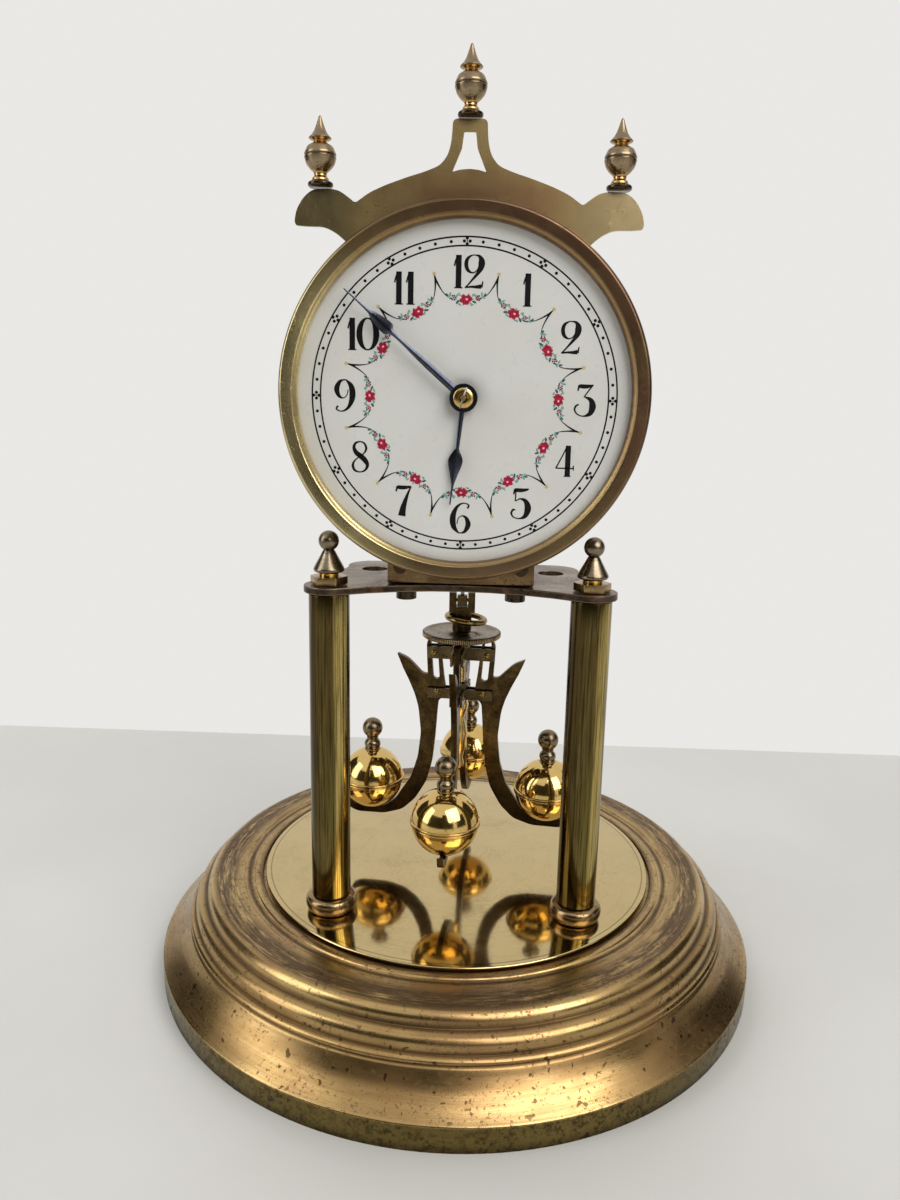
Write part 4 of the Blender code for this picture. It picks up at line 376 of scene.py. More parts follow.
class Finish(Nodes):
    """A Principled material whose colour and roughness are built up in layers. Lengths are in millimetres."""

    def __init__(self, name, metallic=1.0, **values):
        self.material = bpy.data.materials.new(name)
        self.material.use_nodes = True
        super().__init__(self.material.node_tree)
        self.sockets = self.tree.nodes["Principled BSDF"].inputs
        self.sockets["Metallic"].default_value = metallic
        for socket, value in values.items():
            self.sockets[socket.replace("_", " ")].default_value = value
        self.colour = srgb(128, 128, 128)
        self.rough = 0.5

    def coat(self, share, colour, strength=1.0, rougher=0.0):
        """A layer of colour, as a socket or as three values up to 255, that may change the roughness."""
        tint = srgb(*colour) if isinstance(colour, tuple) else colour
        self.colour = self.mix(self.times(share, strength), self.colour, tint)
        if rougher:
            self.rough = self.plus(self.rough, self.times(share, rougher))

    def done(self):
        """The material, with the colour and the roughness on its shader."""
        self.fill(self.sockets["Base Color"], self.colour)
        self.fill(self.sockets["Roughness"], self.rough)
        return self.material

    def place(self):
        """Object coordinates in millimetres."""
        source = self.node("ShaderNodeTexCoord").outputs["Object"]
        return self.stretch(source, 1 / MM, 1 / MM, 1 / MM)

    def stretch(self, vector, x, y, z):
        inputs = {0: vector, 1: (x, y, z)}
        return self.node("ShaderNodeVectorMath", inputs, operation="MULTIPLY").outputs[0]

    def spun(self, vector, angle):
        """A place turned about Z."""
        inputs = {"Vector": vector, "Angle": angle}
        return self.node("ShaderNodeVectorRotate", inputs, rotation_type="Z_AXIS").outputs[0]

    def join(self, x, y, z):
        return self.node("ShaderNodeCombineXYZ", {0: x, 1: y, 2: z}).outputs[0]

    def noise(self, vector, scale, detail=4.0, rough=0.55, distortion=0.0, w=None):
        inputs = {
            "Vector": vector, "Scale": scale, "Detail": detail, "Roughness": rough, "Distortion": distortion,
        }
        if w is None:
            return self.node("ShaderNodeTexNoise", inputs).outputs[0]
        return self.node("ShaderNodeTexNoise", {**inputs, "W": w}, noise_dimensions="4D").outputs[0]

    def band(self, value, start, end, first=0.0, last=1.0):
        """A value taken from one range to another, kept inside it."""
        inputs = {"Value": value, "From Min": start, "From Max": end, "To Min": first, "To Max": last}
        return self.node("ShaderNodeMapRange", inputs, clamp=True).outputs[0]

    def stripe(self, value, start, full, fading, end):
        """One between the two middle limits, and nought outside the outer two."""
        return self.times(self.band(value, start, full), self.band(value, end, fading))

    def bump(self, height, strength, distance):
        item = self.node("ShaderNodeBump", {"Height": height, "Strength": strength, "Distance": distance})
        self.fill(self.sockets["Normal"], item.outputs[0])

    def around(self, vector):
        """Radius, the two parts of the way out, and height of a place round the object's own Z axis."""
        x, y, z = self.split(vector)
        flat = self.join(x, y, 0.0)
        radius = self.node("ShaderNodeVectorMath", {0: flat}, operation="LENGTH").outputs["Value"]
        way = self.node("ShaderNodeVectorMath", {0: flat}, operation="NORMALIZE").outputs[0]
        return (radius, *self.split(way)[:2], z)

    def toward(self, x, y, right, up):
        """How far a way points to one side."""
        return self.plus(self.times(x, right), self.times(y, up))


# Camera, floor and light


def place_camera():
    """The camera stands where the photograph was taken from."""
    right, ahead, up = Vector((1, 0, 0)), Vector((0, 1, 0)), Vector((0, 0, 1))
    yaw = Matrix.Rotation(CAMERA_YAW, 3, up)
    right, ahead = yaw @ right, yaw @ ahead
    pitch = Matrix.Rotation(CAMERA_PITCH, 3, right)
    ahead, up = pitch @ ahead, pitch @ up
    roll = Matrix.Rotation(CAMERA_ROLL, 3, ahead)
    right, up = roll @ right, roll @ up
    data = bpy.data.cameras.new("camera")
    data.sensor_fit = "AUTO"
    data.sensor_width = SENSOR
    data.lens = FOCAL_PIXELS * SENSOR / IMAGE_HEIGHT
    data.clip_start = 0.01
    item = in_scene("camera", data)
    turned = Matrix((right, up, -ahead)).transposed().to_4x4()
    item.matrix_world = Matrix.Translation(CAMERA_PLACE) @ turned
    bpy.context.scene.camera = item


def area_light(name, place, size, power, colour=(1.0, 1.0, 1.0), mirrored=True):
    """A soft rectangular lamp aimed at the middle of the clock."""
    data = bpy.data.lights.new(name, "AREA")
    data.shape = "RECTANGLE"
    data.size, data.size_y = size
    data.energy = power
    data.color = colour
    item = in_scene(name, data)
    way = Vector(LAMP_TARGET) - Vector(place)
    item.matrix_world = Matrix.Translation(place) @ way.to_track_quat("-Z", "Y").to_matrix().to_4x4()
    item.visible_glossy = mirrored


def light_scene():
    """A window-like key from the upper right, a weak fill from the left, and a lamp behind the clock."""
    area_light("key", (0.55, -0.75, 0.85), (0.9, 0.9), 10.0, (1.0, 0.985, 0.96))
    area_light("fill", (-0.9, -0.35, 0.55), (0.5, 0.9), 3.2, (0.96, 0.98, 1.0))
    area_light("back", (-0.25, 0.8, 0.7), (0.9, 0.4), 3.0, mirrored=False)


def paint_world():
    """A room that looks evenly pale, in mirrors too, and lights the clock from behind and above."""
    world = bpy.data.worlds.new("room")
    world.use_nodes = True
    bpy.context.scene.world = world
    room = Nodes(world.node_tree)
    _, y, z = room.split(room.node("ShaderNodeTexCoord").outputs["Generated"])
    depth = room.ramp(room.math("MULTIPLY_ADD", y, 0.5, 0.5), (
        (0.0, 0.10, 0.10, 0.10), (0.22, 0.16, 0.16, 0.15), (0.42, 0.42, 0.42, 0.41),
        (0.62, 0.80, 0.80, 0.79), (1.0, 0.92, 0.92, 0.90),
    ))
    rise = room.ramp(room.math("MULTIPLY_ADD", z, 0.5, 0.5), (
        (0.0, 0.55, 0.55, 0.53), (0.5, 0.80, 0.79, 0.77), (0.7, 1.0, 1.0, 1.0), (1.0, 0.72, 0.72, 0.72),
    ))
    lighting = room.tree.nodes["Background"]
    room.fill(lighting.inputs["Color"], room.mix(1.0, depth, rise, "MULTIPLY"))
    pale = room.node("ShaderNodeBackground", {"Color": (0.82, 0.81, 0.79, 1.0)})
    rays = room.node("ShaderNodeLightPath").outputs
    shown = room.most(*(rays[f"Is {kind} Ray"] for kind in ("Camera", "Glossy", "Transmission")))
    choice = room.node("ShaderNodeMixShader", {0: shown, 1: lighting.outputs[0], 2: pale.outputs[0]})
    room.fill(room.tree.nodes["World Output"].inputs["Surface"], choice.outputs[0])


def lay_floor():
    """A wide pale floor that the clock stands on, up to the wall behind it."""
    bm = bmesh.new()
    bmesh.ops.create_grid(bm, x_segments=1, y_segments=1, size=FLOOR_HALF)
    bmesh.ops.translate(bm, verts=bm.verts, vec=(0.0, FLOOR_END - FLOOR_HALF, 0.0))
    f = Finish("floor_paint", metallic=0.0)
    place = f.place()
    tone = f.band(f.noise(place, 0.008, 5.0), 0.3, 0.7)
    f.colour = f.mix(tone, srgb(205, 204, 199), srgb(212, 211, 207))
    f.rough = 0.55
    f.bump(f.noise(place, 1.2, 3.0), 0.12, 0.0002)
    flat_object("floor", bm, f.done())


def hang_cards():
    """Dark cards that only polished metal mirrors, so that it shows a room's contrast, with bright gaps."""
    f = Finish("card", metallic=0.0)
    tone = f.band(f.noise(f.place(), 0.0016, 4.0, 0.6), 0.35, 0.65)
    f.colour = f.mix(tone, srgb(24, 22, 16), srgb(60, 54, 38))
    f.rough = 0.9
    paint = f.done()
    for k, (start, end, top) in enumerate(CARDS):
        bm = bmesh.new()
        rows = []
        for j in range(9):
            turn = math.radians(-90 + start + (end - start) * j / 8)
            rows.append([bm.verts.new((*polar(CARD_RADIUS, turn), z)) for z in (CARD_FOOT, top)])
        for first, second in zip(rows, rows[1:]):
            bm.faces.new((first[0], second[0], second[1], first[1]))
        item = flat_object(f"card_{k}", bm, paint)
        for rays in ("camera", "diffuse", "shadow", "transmission"):
            setattr(item, "visible_" + rays, False)


# Metal finishes, in layers: a share, a colour, a strength and a change of roughness. Sizes are in millimetres


def metal(name, colours, rough, grain, fine, blotch, wear, specks, relief, layers=None, coarse=1.0):
    """Aged metal: clouds from bright to dull, fine grain along one way, dark specks, uneven polish."""
    f = Finish(name)
    bright, dull, dark = colours
    place = f.place()
    if grain == "turned":
        radius, x, y, z = f.around(place)
        ring = f.join(f.times(x, 2.5), f.times(y, 2.5), f.times(radius, 4.0 * fine))
        lines = f.noise(ring, 1.0, 3.0, 0.6, w=f.times(z, 4.0 * fine))
    elif grain == "upright":
        lines = f.noise(f.stretch(place, 4.0 * fine, 4.0 * fine, 0.12), 1.0, 4.0, 0.65)
    elif grain == "level":
        lines = f.noise(f.stretch(place, 0.12, 4.0 * fine, 4.0 * fine), 1.0, 4.0, 0.65)
    else:
        lines = f.noise(f.stretch(place, fine, fine, fine), 1.6, 5.0, 0.6)
    cloud = f.noise(place, blotch, 6.0, 0.62, 0.4)
    dulled = f.times(f.band(cloud, 0.5 - 0.22 * coarse, 0.5 + 0.2 * coarse), min(1.0, wear * 1.6))
    f.colour = f.mix(dulled, srgb(*bright), srgb(*dull))
    f.coat(f.band(lines, 0.48, 0.74), dark, wear * 0.75)
    f.rough = f.plus(f.band(cloud, 0.32, 0.7, *rough), f.band(lines, 0.3, 0.75, 0.0, 0.07))
    if specks:
        spots = f.plus(f.noise(place, 0.9, 3.0, 0.75), f.times(f.noise(place, 0.07, 3.0), 0.35))
        f.coat(f.band(spots, 0.82 - 0.10 * specks, 0.90 - 0.10 * specks), dark, 0.85, 0.22)
    if layers:
        layers(f, place)
    f.bump(f.plus(lines, f.times(cloud, 2.0)), relief, 0.00008)
    return f.done()


# Painted shade in the base's grooves, each as (radius, height, width) in millimetres
SHADED_BASE_GROOVES = (
    (88.1, 17.2, 0.5), (87.0, 19.4, 0.5), (83.5, 24.2, 0.75), (69.7, 27.9, 0.5), (65.6, 27.6, 0.8),
)


def worn_base(f, place):
    """The base: a streaky brown step, painted shade in its grooves, a spotted wall, a dotted and scratched
    flare.
    """
    radius, x, y, z = f.around(place)

    def swept(turns, across, detail=5.0):
        """Noise drawn out round the base."""
        vector = f.join(f.times(x, turns), f.times(y, turns), f.times(radius, across))
        return f.noise(vector, 1.0, detail, 0.72)

    ring, streak, wide = swept(3.0, 2.2), swept(11.0, 1.5), swept(1.6, 0.3, 4.0)
    copper = f.band(f.noise(place, 0.035, 5.0, 0.65, 0.6), 0.46, 0.66)
    f.coat(copper, (158, 122, 92), 0.45)

    mottle = f.plus(f.times(streak, 0.65), f.times(wide, 0.45))
    outer = f.times(f.stripe(radius, 71.5, 75.0, 79.8, 81.6), f.band(mottle, 0.42, 0.56))
    inner = f.times(f.band(radius, 71.5, 73.5, 1.0, 0.0), f.band(mottle, 0.52, 0.68, 0.0, 0.7))
    stain = f.times(f.band(z, 27.5, 27.8), f.most(outer, inner))
    f.coat(stain, f.mix(f.band(ring, 0.4, 0.6), srgb(70, 56, 50), srgb(98, 82, 64)), 0.92, 0.2)
    # Painted shade: a dark line along each groove and crease, where shade falls
    for groove_radius, groove_z, width in SHADED_BASE_GROOVES:
        near = f.plus(f.off(radius, groove_radius), f.off(z, groove_z))
        dark = f.times(f.band(near, 2.6 * width, 0.5 * width), f.band(ring, 0.25, 0.6, 0.7, 1.0))
        f.coat(dark, (44, 33, 27), 0.95, 0.2)

    wall = f.band(z, 7.6, 6.9)
    spots = f.noise(place, 0.55, 4.0, 0.8)
    gathered = f.band(f.noise(place, 0.06, 3.0), 0.40, 0.58, 0.45, 1.0)
    f.coat(wall, (98, 86, 44), 0.85)
    f.coat(f.times(wall, gathered, f.band(spots, 0.48, 0.60)), (56, 46, 28), 0.85, 0.25)
    f.coat(f.times(f.band(z, 2.6, 0.4), f.band(spots, 0.35, 0.6, 0.5, 1.0)), (44, 37, 24), 0.85)

    flare = f.times(f.band(z, 6.5, 8.5), f.band(z, 27.0, 20.0, 0.35, 1.0))
    f.coat(f.times(flare, f.band(wide, 0.34, 0.58, 0.35, 1.0)), (134, 102, 60), 0.6, 0.06)
    f.coat(f.times(flare, f.band(f.noise(place, 0.42, 1.0, 0.5), 0.685, 0.71)), (58, 42, 28), 0.8)
    pits = f.plus(f.noise(place, 1.3, 2.0, 0.7), f.times(copper, 0.03))
    f.coat(f.times(flare, f.band(pits, 0.675, 0.72)), (54, 38, 26), 0.85)
    for turn in (0.5, 1.6, 2.6):
        cut = f.noise(f.stretch(f.spun(place, turn), 0.10, 2.6, 0.4), 1.0, 1.0, 0.4)
        f.coat(f.times(flare, f.band(cut, 0.79, 0.82)), (70, 50, 34), 0.7)


def streaked(f, place):
    """A pillar: upright streaks of olive and dark brown in old lacquer, painted shade on its left side and a
    painted highlight at the front right.
    """
    broad = f.noise(f.stretch(place, 0.42, 0.42, 0.010), 1.0, 3.0, 0.6)
    thin = f.noise(f.stretch(place, 2.2, 2.2, 0.035), 1.0, 4.0, 0.7)
    _, x, y, z = f.around(place)
    olive = f.mix(f.band(z, 20.0, 70.0), srgb(88, 82, 36), srgb(80, 65, 38))
    painted_highlight = f.band(f.toward(x, y, 0.68, -0.73), 0.90, 0.985)
    f.coat(f.band(broad, 0.38, 0.60, 0.0, 0.75), olive)
    # Painted shade: darker on the left side
    f.coat(f.band(f.toward(x, y, -0.80, -0.60), 0.55, 0.95), (66, 50, 28), 0.55)
    f.coat(f.band(thin, 0.46, 0.60, 0.0, 0.8), (46, 38, 20))
    # Painted highlight: a light golden band at the front right
    f.coat(f.times(painted_highlight, f.band(thin, 0.42, 0.58, 0.8, 0.25)), (208, 184, 112))
    f.rough = f.plus(f.rough, f.band(thin, 0.45, 0.7, 0.0, 0.06))


def patched(f, place):
    """The crest: brown above the bezel, a painted highlight in gold at the right ear, grey-green at the left
    one.
    """
    x, _, z = f.split(place)
    cloud = f.noise(place, 0.10, 5.0, 0.65, 0.5)
    over_bezel = f.times(f.band(f.off(x, 4.0), 30.0, 12.0), f.band(z, 244.0, 234.0))
    uneven = f.band(cloud, 0.35, 0.55, 0.5, 1.0)
    f.coat(f.times(over_bezel, f.band(cloud, 0.30, 0.50, 0.4, 1.0)), (140, 104, 76), 0.75)
    # Painted highlight: the right ear lighter and glossier
    f.coat(f.times(f.band(x, 22.0, 36.0), uneven), (206, 184, 140), 0.8, -0.08)
    f.coat(f.times(f.band(x, -26.0, -37.0), uneven), (130, 120, 92), 0.8)


def rubbed_ring(f, place):
    """The bezel: brown above, right and below, a painted reflection in gold at the left, a dark rim, a
    painted highlight as a bright inner line.
    """
    radius, x, y, _ = f.around(place)
    cloud = f.noise(place, 0.09, 5.0, 0.65, 0.4)
    brown = f.times(f.band(f.toward(x, y, 0.75, 0.65), -0.25, 0.55), f.band(cloud, 0.28, 0.5, 0.55, 1.0))
    gold = f.times(f.band(f.toward(x, y, 0.98, 0.2), -0.45, -0.85), f.band(cloud, 0.35, 0.6, 0.5, 1.0))
    f.coat(brown, (108, 78, 62), 0.85)
    f.coat(f.times(f.band(y, -0.72, -0.92), f.band(x, -0.5, -0.2)), (124, 98, 80), 0.6)
    # Painted reflection: a bright, glossier gold band at the left
    f.coat(gold, (244, 226, 170), 0.9, -0.08)
    f.coat(f.band(radius, 47.9, 48.7), (56, 44, 30), 0.6)
    # Painted highlight: a bright thin line at the inner edge
    f.coat(f.band(f.off(radius, 44.75), 0.35, 0.12), (204, 180, 124), 0.5)


def gilt_neck(f, place):
    """A pillar finial: a brass nut, a bright neck below its nickel cone, a dark one below its ball."""
    _, _, z = f.split(place)
    worn = f.band(f.noise(place, 0.4, 4.0, 0.6), 0.3, 0.6, 0.9, 0.5)
    f.coat(f.times(f.band(z, 2.5, 2.2), worn), (176, 148, 96))
    f.coat(f.stripe(z, 2.2, 2.4, 3.1, 3.4), (226, 184, 100), 0.9, -0.12)
    f.coat(f.stripe(z, 8.4, 8.8, 9.5, 9.9), (70, 54, 40), 0.5)


def dark_edged(f, place):
    """The platform: darker along its edge below the top, with a light line at its foot, and stains."""
    _, _, z = f.split(place)
    cloud = f.noise(place, 0.12, 5.0, 0.65, 0.5)
    f.coat(f.times(f.band(z, 130.05, 129.75), f.band(cloud, 0.3, 0.6, 1.0, 0.6)), (30, 24, 20), 0.95)
    f.coat(f.band(f.off(z, 128.35), 0.22, 0.08), (150, 128, 98), 0.6)
    f.coat(f.band(cloud, 0.52, 0.66), (98, 86, 80), 0.5)
    f.coat(f.band(f.noise(place, 0.06, 4.0, 0.6, 0.8), 0.55, 0.68), (158, 112, 84), 0.35)


def gilt_foot(f, place):
    """The pendulum's stem: dark bronze, with polished brass in the turned foot below the crosses."""
    _, _, z = f.split(place)
    worn = f.band(f.noise(place, 0.3, 4.0, 0.6), 0.3, 0.55, 0.75, 1.0)
    f.coat(f.times(f.band(z, 86.5, 85.0), worn), (206, 172, 106), 1.0, -0.14)


def scratched(f, place):
    """The disc: fine straight scratches in all directions, a painted shade line near its rim, tarnish and
    specks.
    """
    cuts = []
    for k, turn in enumerate((0.3, 1.1, 1.9, 2.7)):
        lines = f.noise(f.stretch(f.spun(place, turn), 0.06, 3.2, 1.0), 1.0 + 0.13 * k, 1.0, 0.4)
        worn = f.band(f.noise(place, 0.05 + 0.02 * k, 3.0), 0.42, 0.62)
        cuts.append(f.times(f.band(f.off(lines, 0.5), 0.014, 0.003), worn))
    f.coat(f.most(*cuts), (120, 96, 60), 0.5, 0.14)
    radius = f.around(place)[0]
    # Painted shade: a thin dark ring near the disc's rim, where the gap at its edge is shaded
    f.coat(f.band(f.off(radius, 62.7), 0.3, 0.1), (112, 88, 54), 0.6)
    f.coat(f.band(f.noise(place, 0.045, 5.0, 0.7), 0.55, 0.7), (160, 138, 98), 0.3, 0.05)
    f.coat(f.band(f.noise(place, 0.8, 2.0, 0.6), 0.74, 0.77), (84, 66, 44), 0.7)


def two_tone(f, place):
    """A crest finial: dark washer, golden necks, nickel ball and tip, a dark seam at the widest place."""
    _, _, z = f.split(place)
    necks = f.most(f.stripe(z, 1.5, 1.8, 3.3, 4.3), f.stripe(z, 9.9, 10.3, 11.1, 11.5))
    worn = f.band(f.noise(place, 0.5, 4.0, 0.6), 0.3, 0.6, 0.5, 0.9)
    f.coat(f.times(necks, worn), (198, 160, 98), 1.0, -0.08)
    f.coat(f.band(z, 1.45, 1.25), (48, 38, 32), 0.8)
    f.coat(f.band(f.off(z, 7.55), 0.22, 0.08), (40, 30, 24), 0.75)


def seamed(f, place):
    """A ball: a dark line in the seam of its two halves, and tarnish near the seam."""
    off = f.off(f.split(place)[2], 0.0)
    f.coat(f.band(off, 0.24, 0.06), (70, 46, 22), 0.85)
    worn = f.band(f.noise(place, 0.35, 4.0, 0.6), 0.45, 0.65)
    f.coat(f.times(f.band(off, 1.6, 0.5), worn), (150, 104, 50), 0.5, 0.12)


def ringed(f, place):
    """The rating disc: darker between its ridges and lighter on their tops."""
    radius = f.around(place)[0]
    f.coat(f.band(radius, 12.55, 12.75), (186, 160, 118), 0.7)
    f.coat(f.stripe(radius, 12.2, 12.4, 12.6, 12.72), (26, 21, 17), 0.95)


def ink(name, colour):
    """Print on enamel: a slightly uneven colour."""
    f = Finish("print_" + name, metallic=0.0, Specular_IOR_Level=0.25)
    place = f.place()
    paler = (*(min(1.0, value * 1.6 + 0.004) for value in colour[:3]), 1.0)
    f.colour = f.mix(f.band(f.noise(place, 1.4, 3.0), 0.3, 0.7, 0.0, 0.35), colour, paler)
    f.rough = f.band(f.noise(place, 3.0, 2.0), 0.3, 0.7, 0.35, 0.5)
    return f.done()


def enamel():
    """Off-white enamel with faint clouds, a few specks, a soft gloss and a metal back."""
    f = Finish("dial_enamel", metallic=0.0, Coat_Weight=0.35, Coat_Roughness=0.08)
    place = f.place()
    radius, _, _, z = f.around(place)
    cloud = f.band(f.noise(place, 0.05, 4.0), 0.3, 0.7)
    f.colour = f.mix(cloud, srgb(216, 216, 213), srgb(210, 209, 204))
    f.coat(f.band(radius, 41.5, 46.6), (196, 190, 172), 0.35)
    f.coat(f.band(z, 0.35, 0.1), f.mix(cloud, srgb(128, 124, 116), srgb(98, 92, 84)))
    f.coat(f.band(f.noise(place, 1.1, 2.0, 0.5), 0.80, 0.83), (120, 110, 96), 0.6)
    f.rough = f.band(f.noise(place, 0.4, 3.0), 0.3, 0.7, 0.26, 0.36)
    f.bump(f.noise(place, 0.35, 2.0), 0.10, 0.00006)
    return f.done()


# Colours of the metals, bright, dull and dark
BRASS = ((214, 184, 124), (172, 136, 92), (78, 56, 38))
GOLD = ((226, 194, 122), (204, 164, 94), (112, 80, 42))
NICKEL = ((152, 139, 116), (106, 93, 74), (48, 40, 33))
COPPERY = ((176, 148, 106), (116, 94, 70), (48, 37, 29))
BRONZE = ((104, 82, 48), (50, 40, 26), (20, 16, 12))
OLIVE = ((176, 154, 106), (134, 112, 76), (70, 54, 36))
BLUE_BLACK = ((92, 96, 110), (24, 25, 30), (8, 8, 10))
DISC = ((208, 186, 136), (190, 166, 114), (128, 100, 64))
# The pillars' colours are darkened all over, a painted reflection of a dark room that polished brass would
# mirror
PILLAR = ((142, 124, 74), (98, 85, 48), (50, 40, 20))
PLATFORM = ((150, 130, 106), (106, 88, 74), (46, 36, 30))
CREST = ((190, 166, 114), (150, 128, 88), (78, 60, 42))
CLIP = ((126, 106, 70), (74, 60, 42), (32, 25, 19))
RING = ((176, 148, 92), (132, 106, 62), (60, 46, 28))
SCREW = ((82, 68, 54), (50, 41, 33), (22, 18, 15))
BRACKET = ((150, 122, 84), (92, 70, 52), (40, 31, 25))
STEEL = ((176, 174, 170), (128, 124, 118), (60, 54, 48))
FINIAL = ((164, 144, 114), (114, 96, 74), (48, 39, 31))
KNOB = ((150, 132, 104), (100, 85, 66), (46, 38, 30))
RATING = ((150, 132, 106), (104, 88, 70), (46, 38, 31))

# Name, colours, roughness, grain, its fineness, size of the clouds, wear, specks, relief and layers
METAL = {name: metal(name, *values) for name, *values in (
    ("base_brass", BRASS, (0.15, 0.27), "turned", 1.1, 0.045, 0.45, 0.5, 0.15, worn_base),
    ("disc_brass", DISC, (0.03, 0.06), "turned", 0.8, 0.02, 0.12, 0.0, 0.02, scratched),
    ("pillar_brass", PILLAR, (0.09, 0.17), "upright", 0.9, 0.03, 0.60, 0.0, 0.08, streaked),
    ("collar_brass", COPPERY, (0.14, 0.26), "turned", 1.6, 0.12, 0.50, 0.4, 0.1),
    ("nut_nickel", NICKEL, (0.18, 0.32), "turned", 1.6, 0.15, 0.5, 0.4, 0.1, gilt_neck),
    ("bezel_brass", OLIVE, (0.24, 0.38), "turned", 1.4, 0.03, 0.50, 0.25, 0.2, rubbed_ring),
    ("crest_brass", CREST, (0.28, 0.42), "upright", 1.5, 0.05, 0.45, 0.2, 0.15, patched),
    ("platform_brass", PLATFORM, (0.24, 0.40), "level", 1.0, 0.06, 0.60, 0.5, 0.2, dark_edged),
    ("dark_bronze", BRONZE, (0.22, 0.38), "plain", 1.0, 0.13, 0.75, 0.4, 0.25, None, 0.7),
    ("stem_bronze", BRONZE, (0.22, 0.38), "turned", 1.0, 0.16, 0.65, 0.4, 0.2, gilt_foot),
    ("clip_bronze", CLIP, (0.22, 0.36), "plain", 1.2, 0.2, 0.6, 0.4, 0.2),
    ("ring_brass", RING, (0.16, 0.28), "plain", 1.4, 0.25, 0.5, 0.3, 0.1),
    ("screw_dark", SCREW, (0.24, 0.38), "plain", 1.2, 0.25, 0.5, 0.3, 0.15),
    ("bracket_brass", BRACKET, (0.20, 0.34), "level", 1.0, 0.08, 0.6, 0.4, 0.15),
    ("gold_brass", GOLD, (0.14, 0.26), "turned", 1.4, 0.15, 0.40, 0.2, 0.1),
    ("movement_brass", BRASS, (0.20, 0.34), "upright", 1.0, 0.06, 0.40, 0.25, 0.15),
    ("blued_steel", BLUE_BLACK, (0.14, 0.26), "plain", 1.0, 0.2, 0.35, 0.0, 0.1),
    ("steel", STEEL, (0.22, 0.36), "plain", 1.0, 0.15, 0.4, 0.2, 0.1),
    ("finial_nickel", FINIAL, (0.16, 0.28), "turned", 2.0, 0.2, 0.5, 0.45, 0.15, two_tone),
    ("knob_nickel", KNOB, (0.16, 0.28), "turned", 2.0, 0.25, 0.5, 0.35, 0.1),
    ("rating_nickel", RATING, (0.20, 0.34), "turned", 2.2, 0.12, 0.5, 0.4, 0.2, ringed),
    ("ball_brass", GOLD, (0.05, 0.12), "turned", 0.8, 0.08, 0.22, 0.15, 0.04, seamed),
)}


# Base, collars, pillars and their finials

# The last value of each corner is its softness in millimetres
BASE_OUTER_SHARES = (
    (1.0, 0.0, 0.3), (1.0, 0.262, 0.35), (0.990, 0.285, 0.6), (0.967, 0.345, 2.5), (0.938, 0.445, 2.5),
    (0.9215, 0.530, 2.0), (0.911, 0.594, 0.6), (0.9035, 0.610, 0.25), (0.9098, 0.627, 0.3),
    (0.9098, 0.652, 0.5), (0.9035, 0.673, 0.5), (0.8975, 0.680, 0.3), (0.8925, 0.686, 0.2),
    (0.8915, 0.703, 0.25), (0.8905, 0.775, 1.8), (0.8815, 0.824, 1.5), (0.8665, 0.848, 0.7),
    (0.8565, 0.857, 0.25), (0.8535, 0.882, 0.6), (0.8485, 0.942, 1.3), (0.837, 0.983, 1.2),
    (0.8195, 1.0, 0.9), (0.733, 1.0, 0.3), (0.729, 0.984, 0.3), (0.700, 0.984, 0.3), (0.696, 1.0, 0.3),
    (0.682, 1.0, 0.3),
)
BASE_HOLLOW_SHARES = ((0.815, 0.94), (0.862, 0.82), (0.893, 0.56), (0.985, 0.24), (0.985, 0.0))
COLLAR_SHARES = (
    (0.86, 0.0), (0.90, 0.05), (0.955, 0.20), (0.99, 0.38), (1.0, 0.54), (0.985, 0.72), (0.93, 0.90),
    (0.82, 1.0),
)
FINIAL_CONE_SHARES = (
    (0.62, -0.06), (0.62, 0.12), (0.92, 0.14), (0.99, 0.20), (0.985, 0.28), (0.85, 0.44), (0.67, 0.64),
    (0.48, 0.86), (0.41, 0.95),
)


def build_base():
    """The base and the disc let into it."""
    radius, height = high("base_shell").x, high("base_shell").z
    recess, roof, edge, lip_soft = height - 1.2 * MM, height - 2.5 * MM, 65.3 * MM, 0.25 * MM
    softness = [soft * MM for _, _, soft in BASE_OUTER_SHARES]
    outer = softened(scaled([(u, v) for u, v, _ in BASE_OUTER_SHARES], radius, height), softness, 5)
    lip = [(edge + lip_soft, height), (edge, height - lip_soft), (edge, recess), (0.0, recess)]
    hollow = softened([(0.0, roof)] + scaled(BASE_HOLLOW_SHARES, radius, height), 1.5 * MM, 4)
    turned_piece("base_shell", outer[:-1] + lip + hollow, LARGE_STEPS, "base_brass")

    top, bottom, rim, soft = high("base_disc").z, low("base_disc").z, high("base_disc").x, 0.45 * MM
    profile = [(0.0, bottom), (rim, bottom)] + arc((rim - soft, top - soft), soft, 0, 90, 5) + [(0.0, top)]
    turned_piece("base_disc", profile, LARGE_STEPS, "disc_brass")


def build_collar(side):
    node, bore = "foot_collar_" + side, 1.9 * MM
    tall = height_of(node)
    beads = softened(scaled(COLLAR_SHARES, half_width(node), tall), 0.7 * MM, 5)
    place = (*middle(node).xy, low(node).z)
    turned_piece(node, [(bore, 0.0)] + beads + [(bore, tall)], MIDDLE_STEPS, "collar_brass", 45, place)


def build_pillar(side):
    node, bore, soft = "pillar_" + side, 4.6 * MM, 0.35 * MM
    tall, rim = height_of(node), half_width(node)
    profile = [(bore, 0.0)] + arc((rim - soft, soft), soft, -90, 0, 4)
    profile += [(rim, tall * k / 8) for k in range(1, 8)]
    profile += arc((rim - soft, tall - soft), soft, 0, 90, 4) + [(bore, tall)]
    place = (*middle("foot_collar_" + side).xy, low(node).z)
    turned_piece(node, profile, MIDDLE_STEPS, "pillar_brass", 50, place)


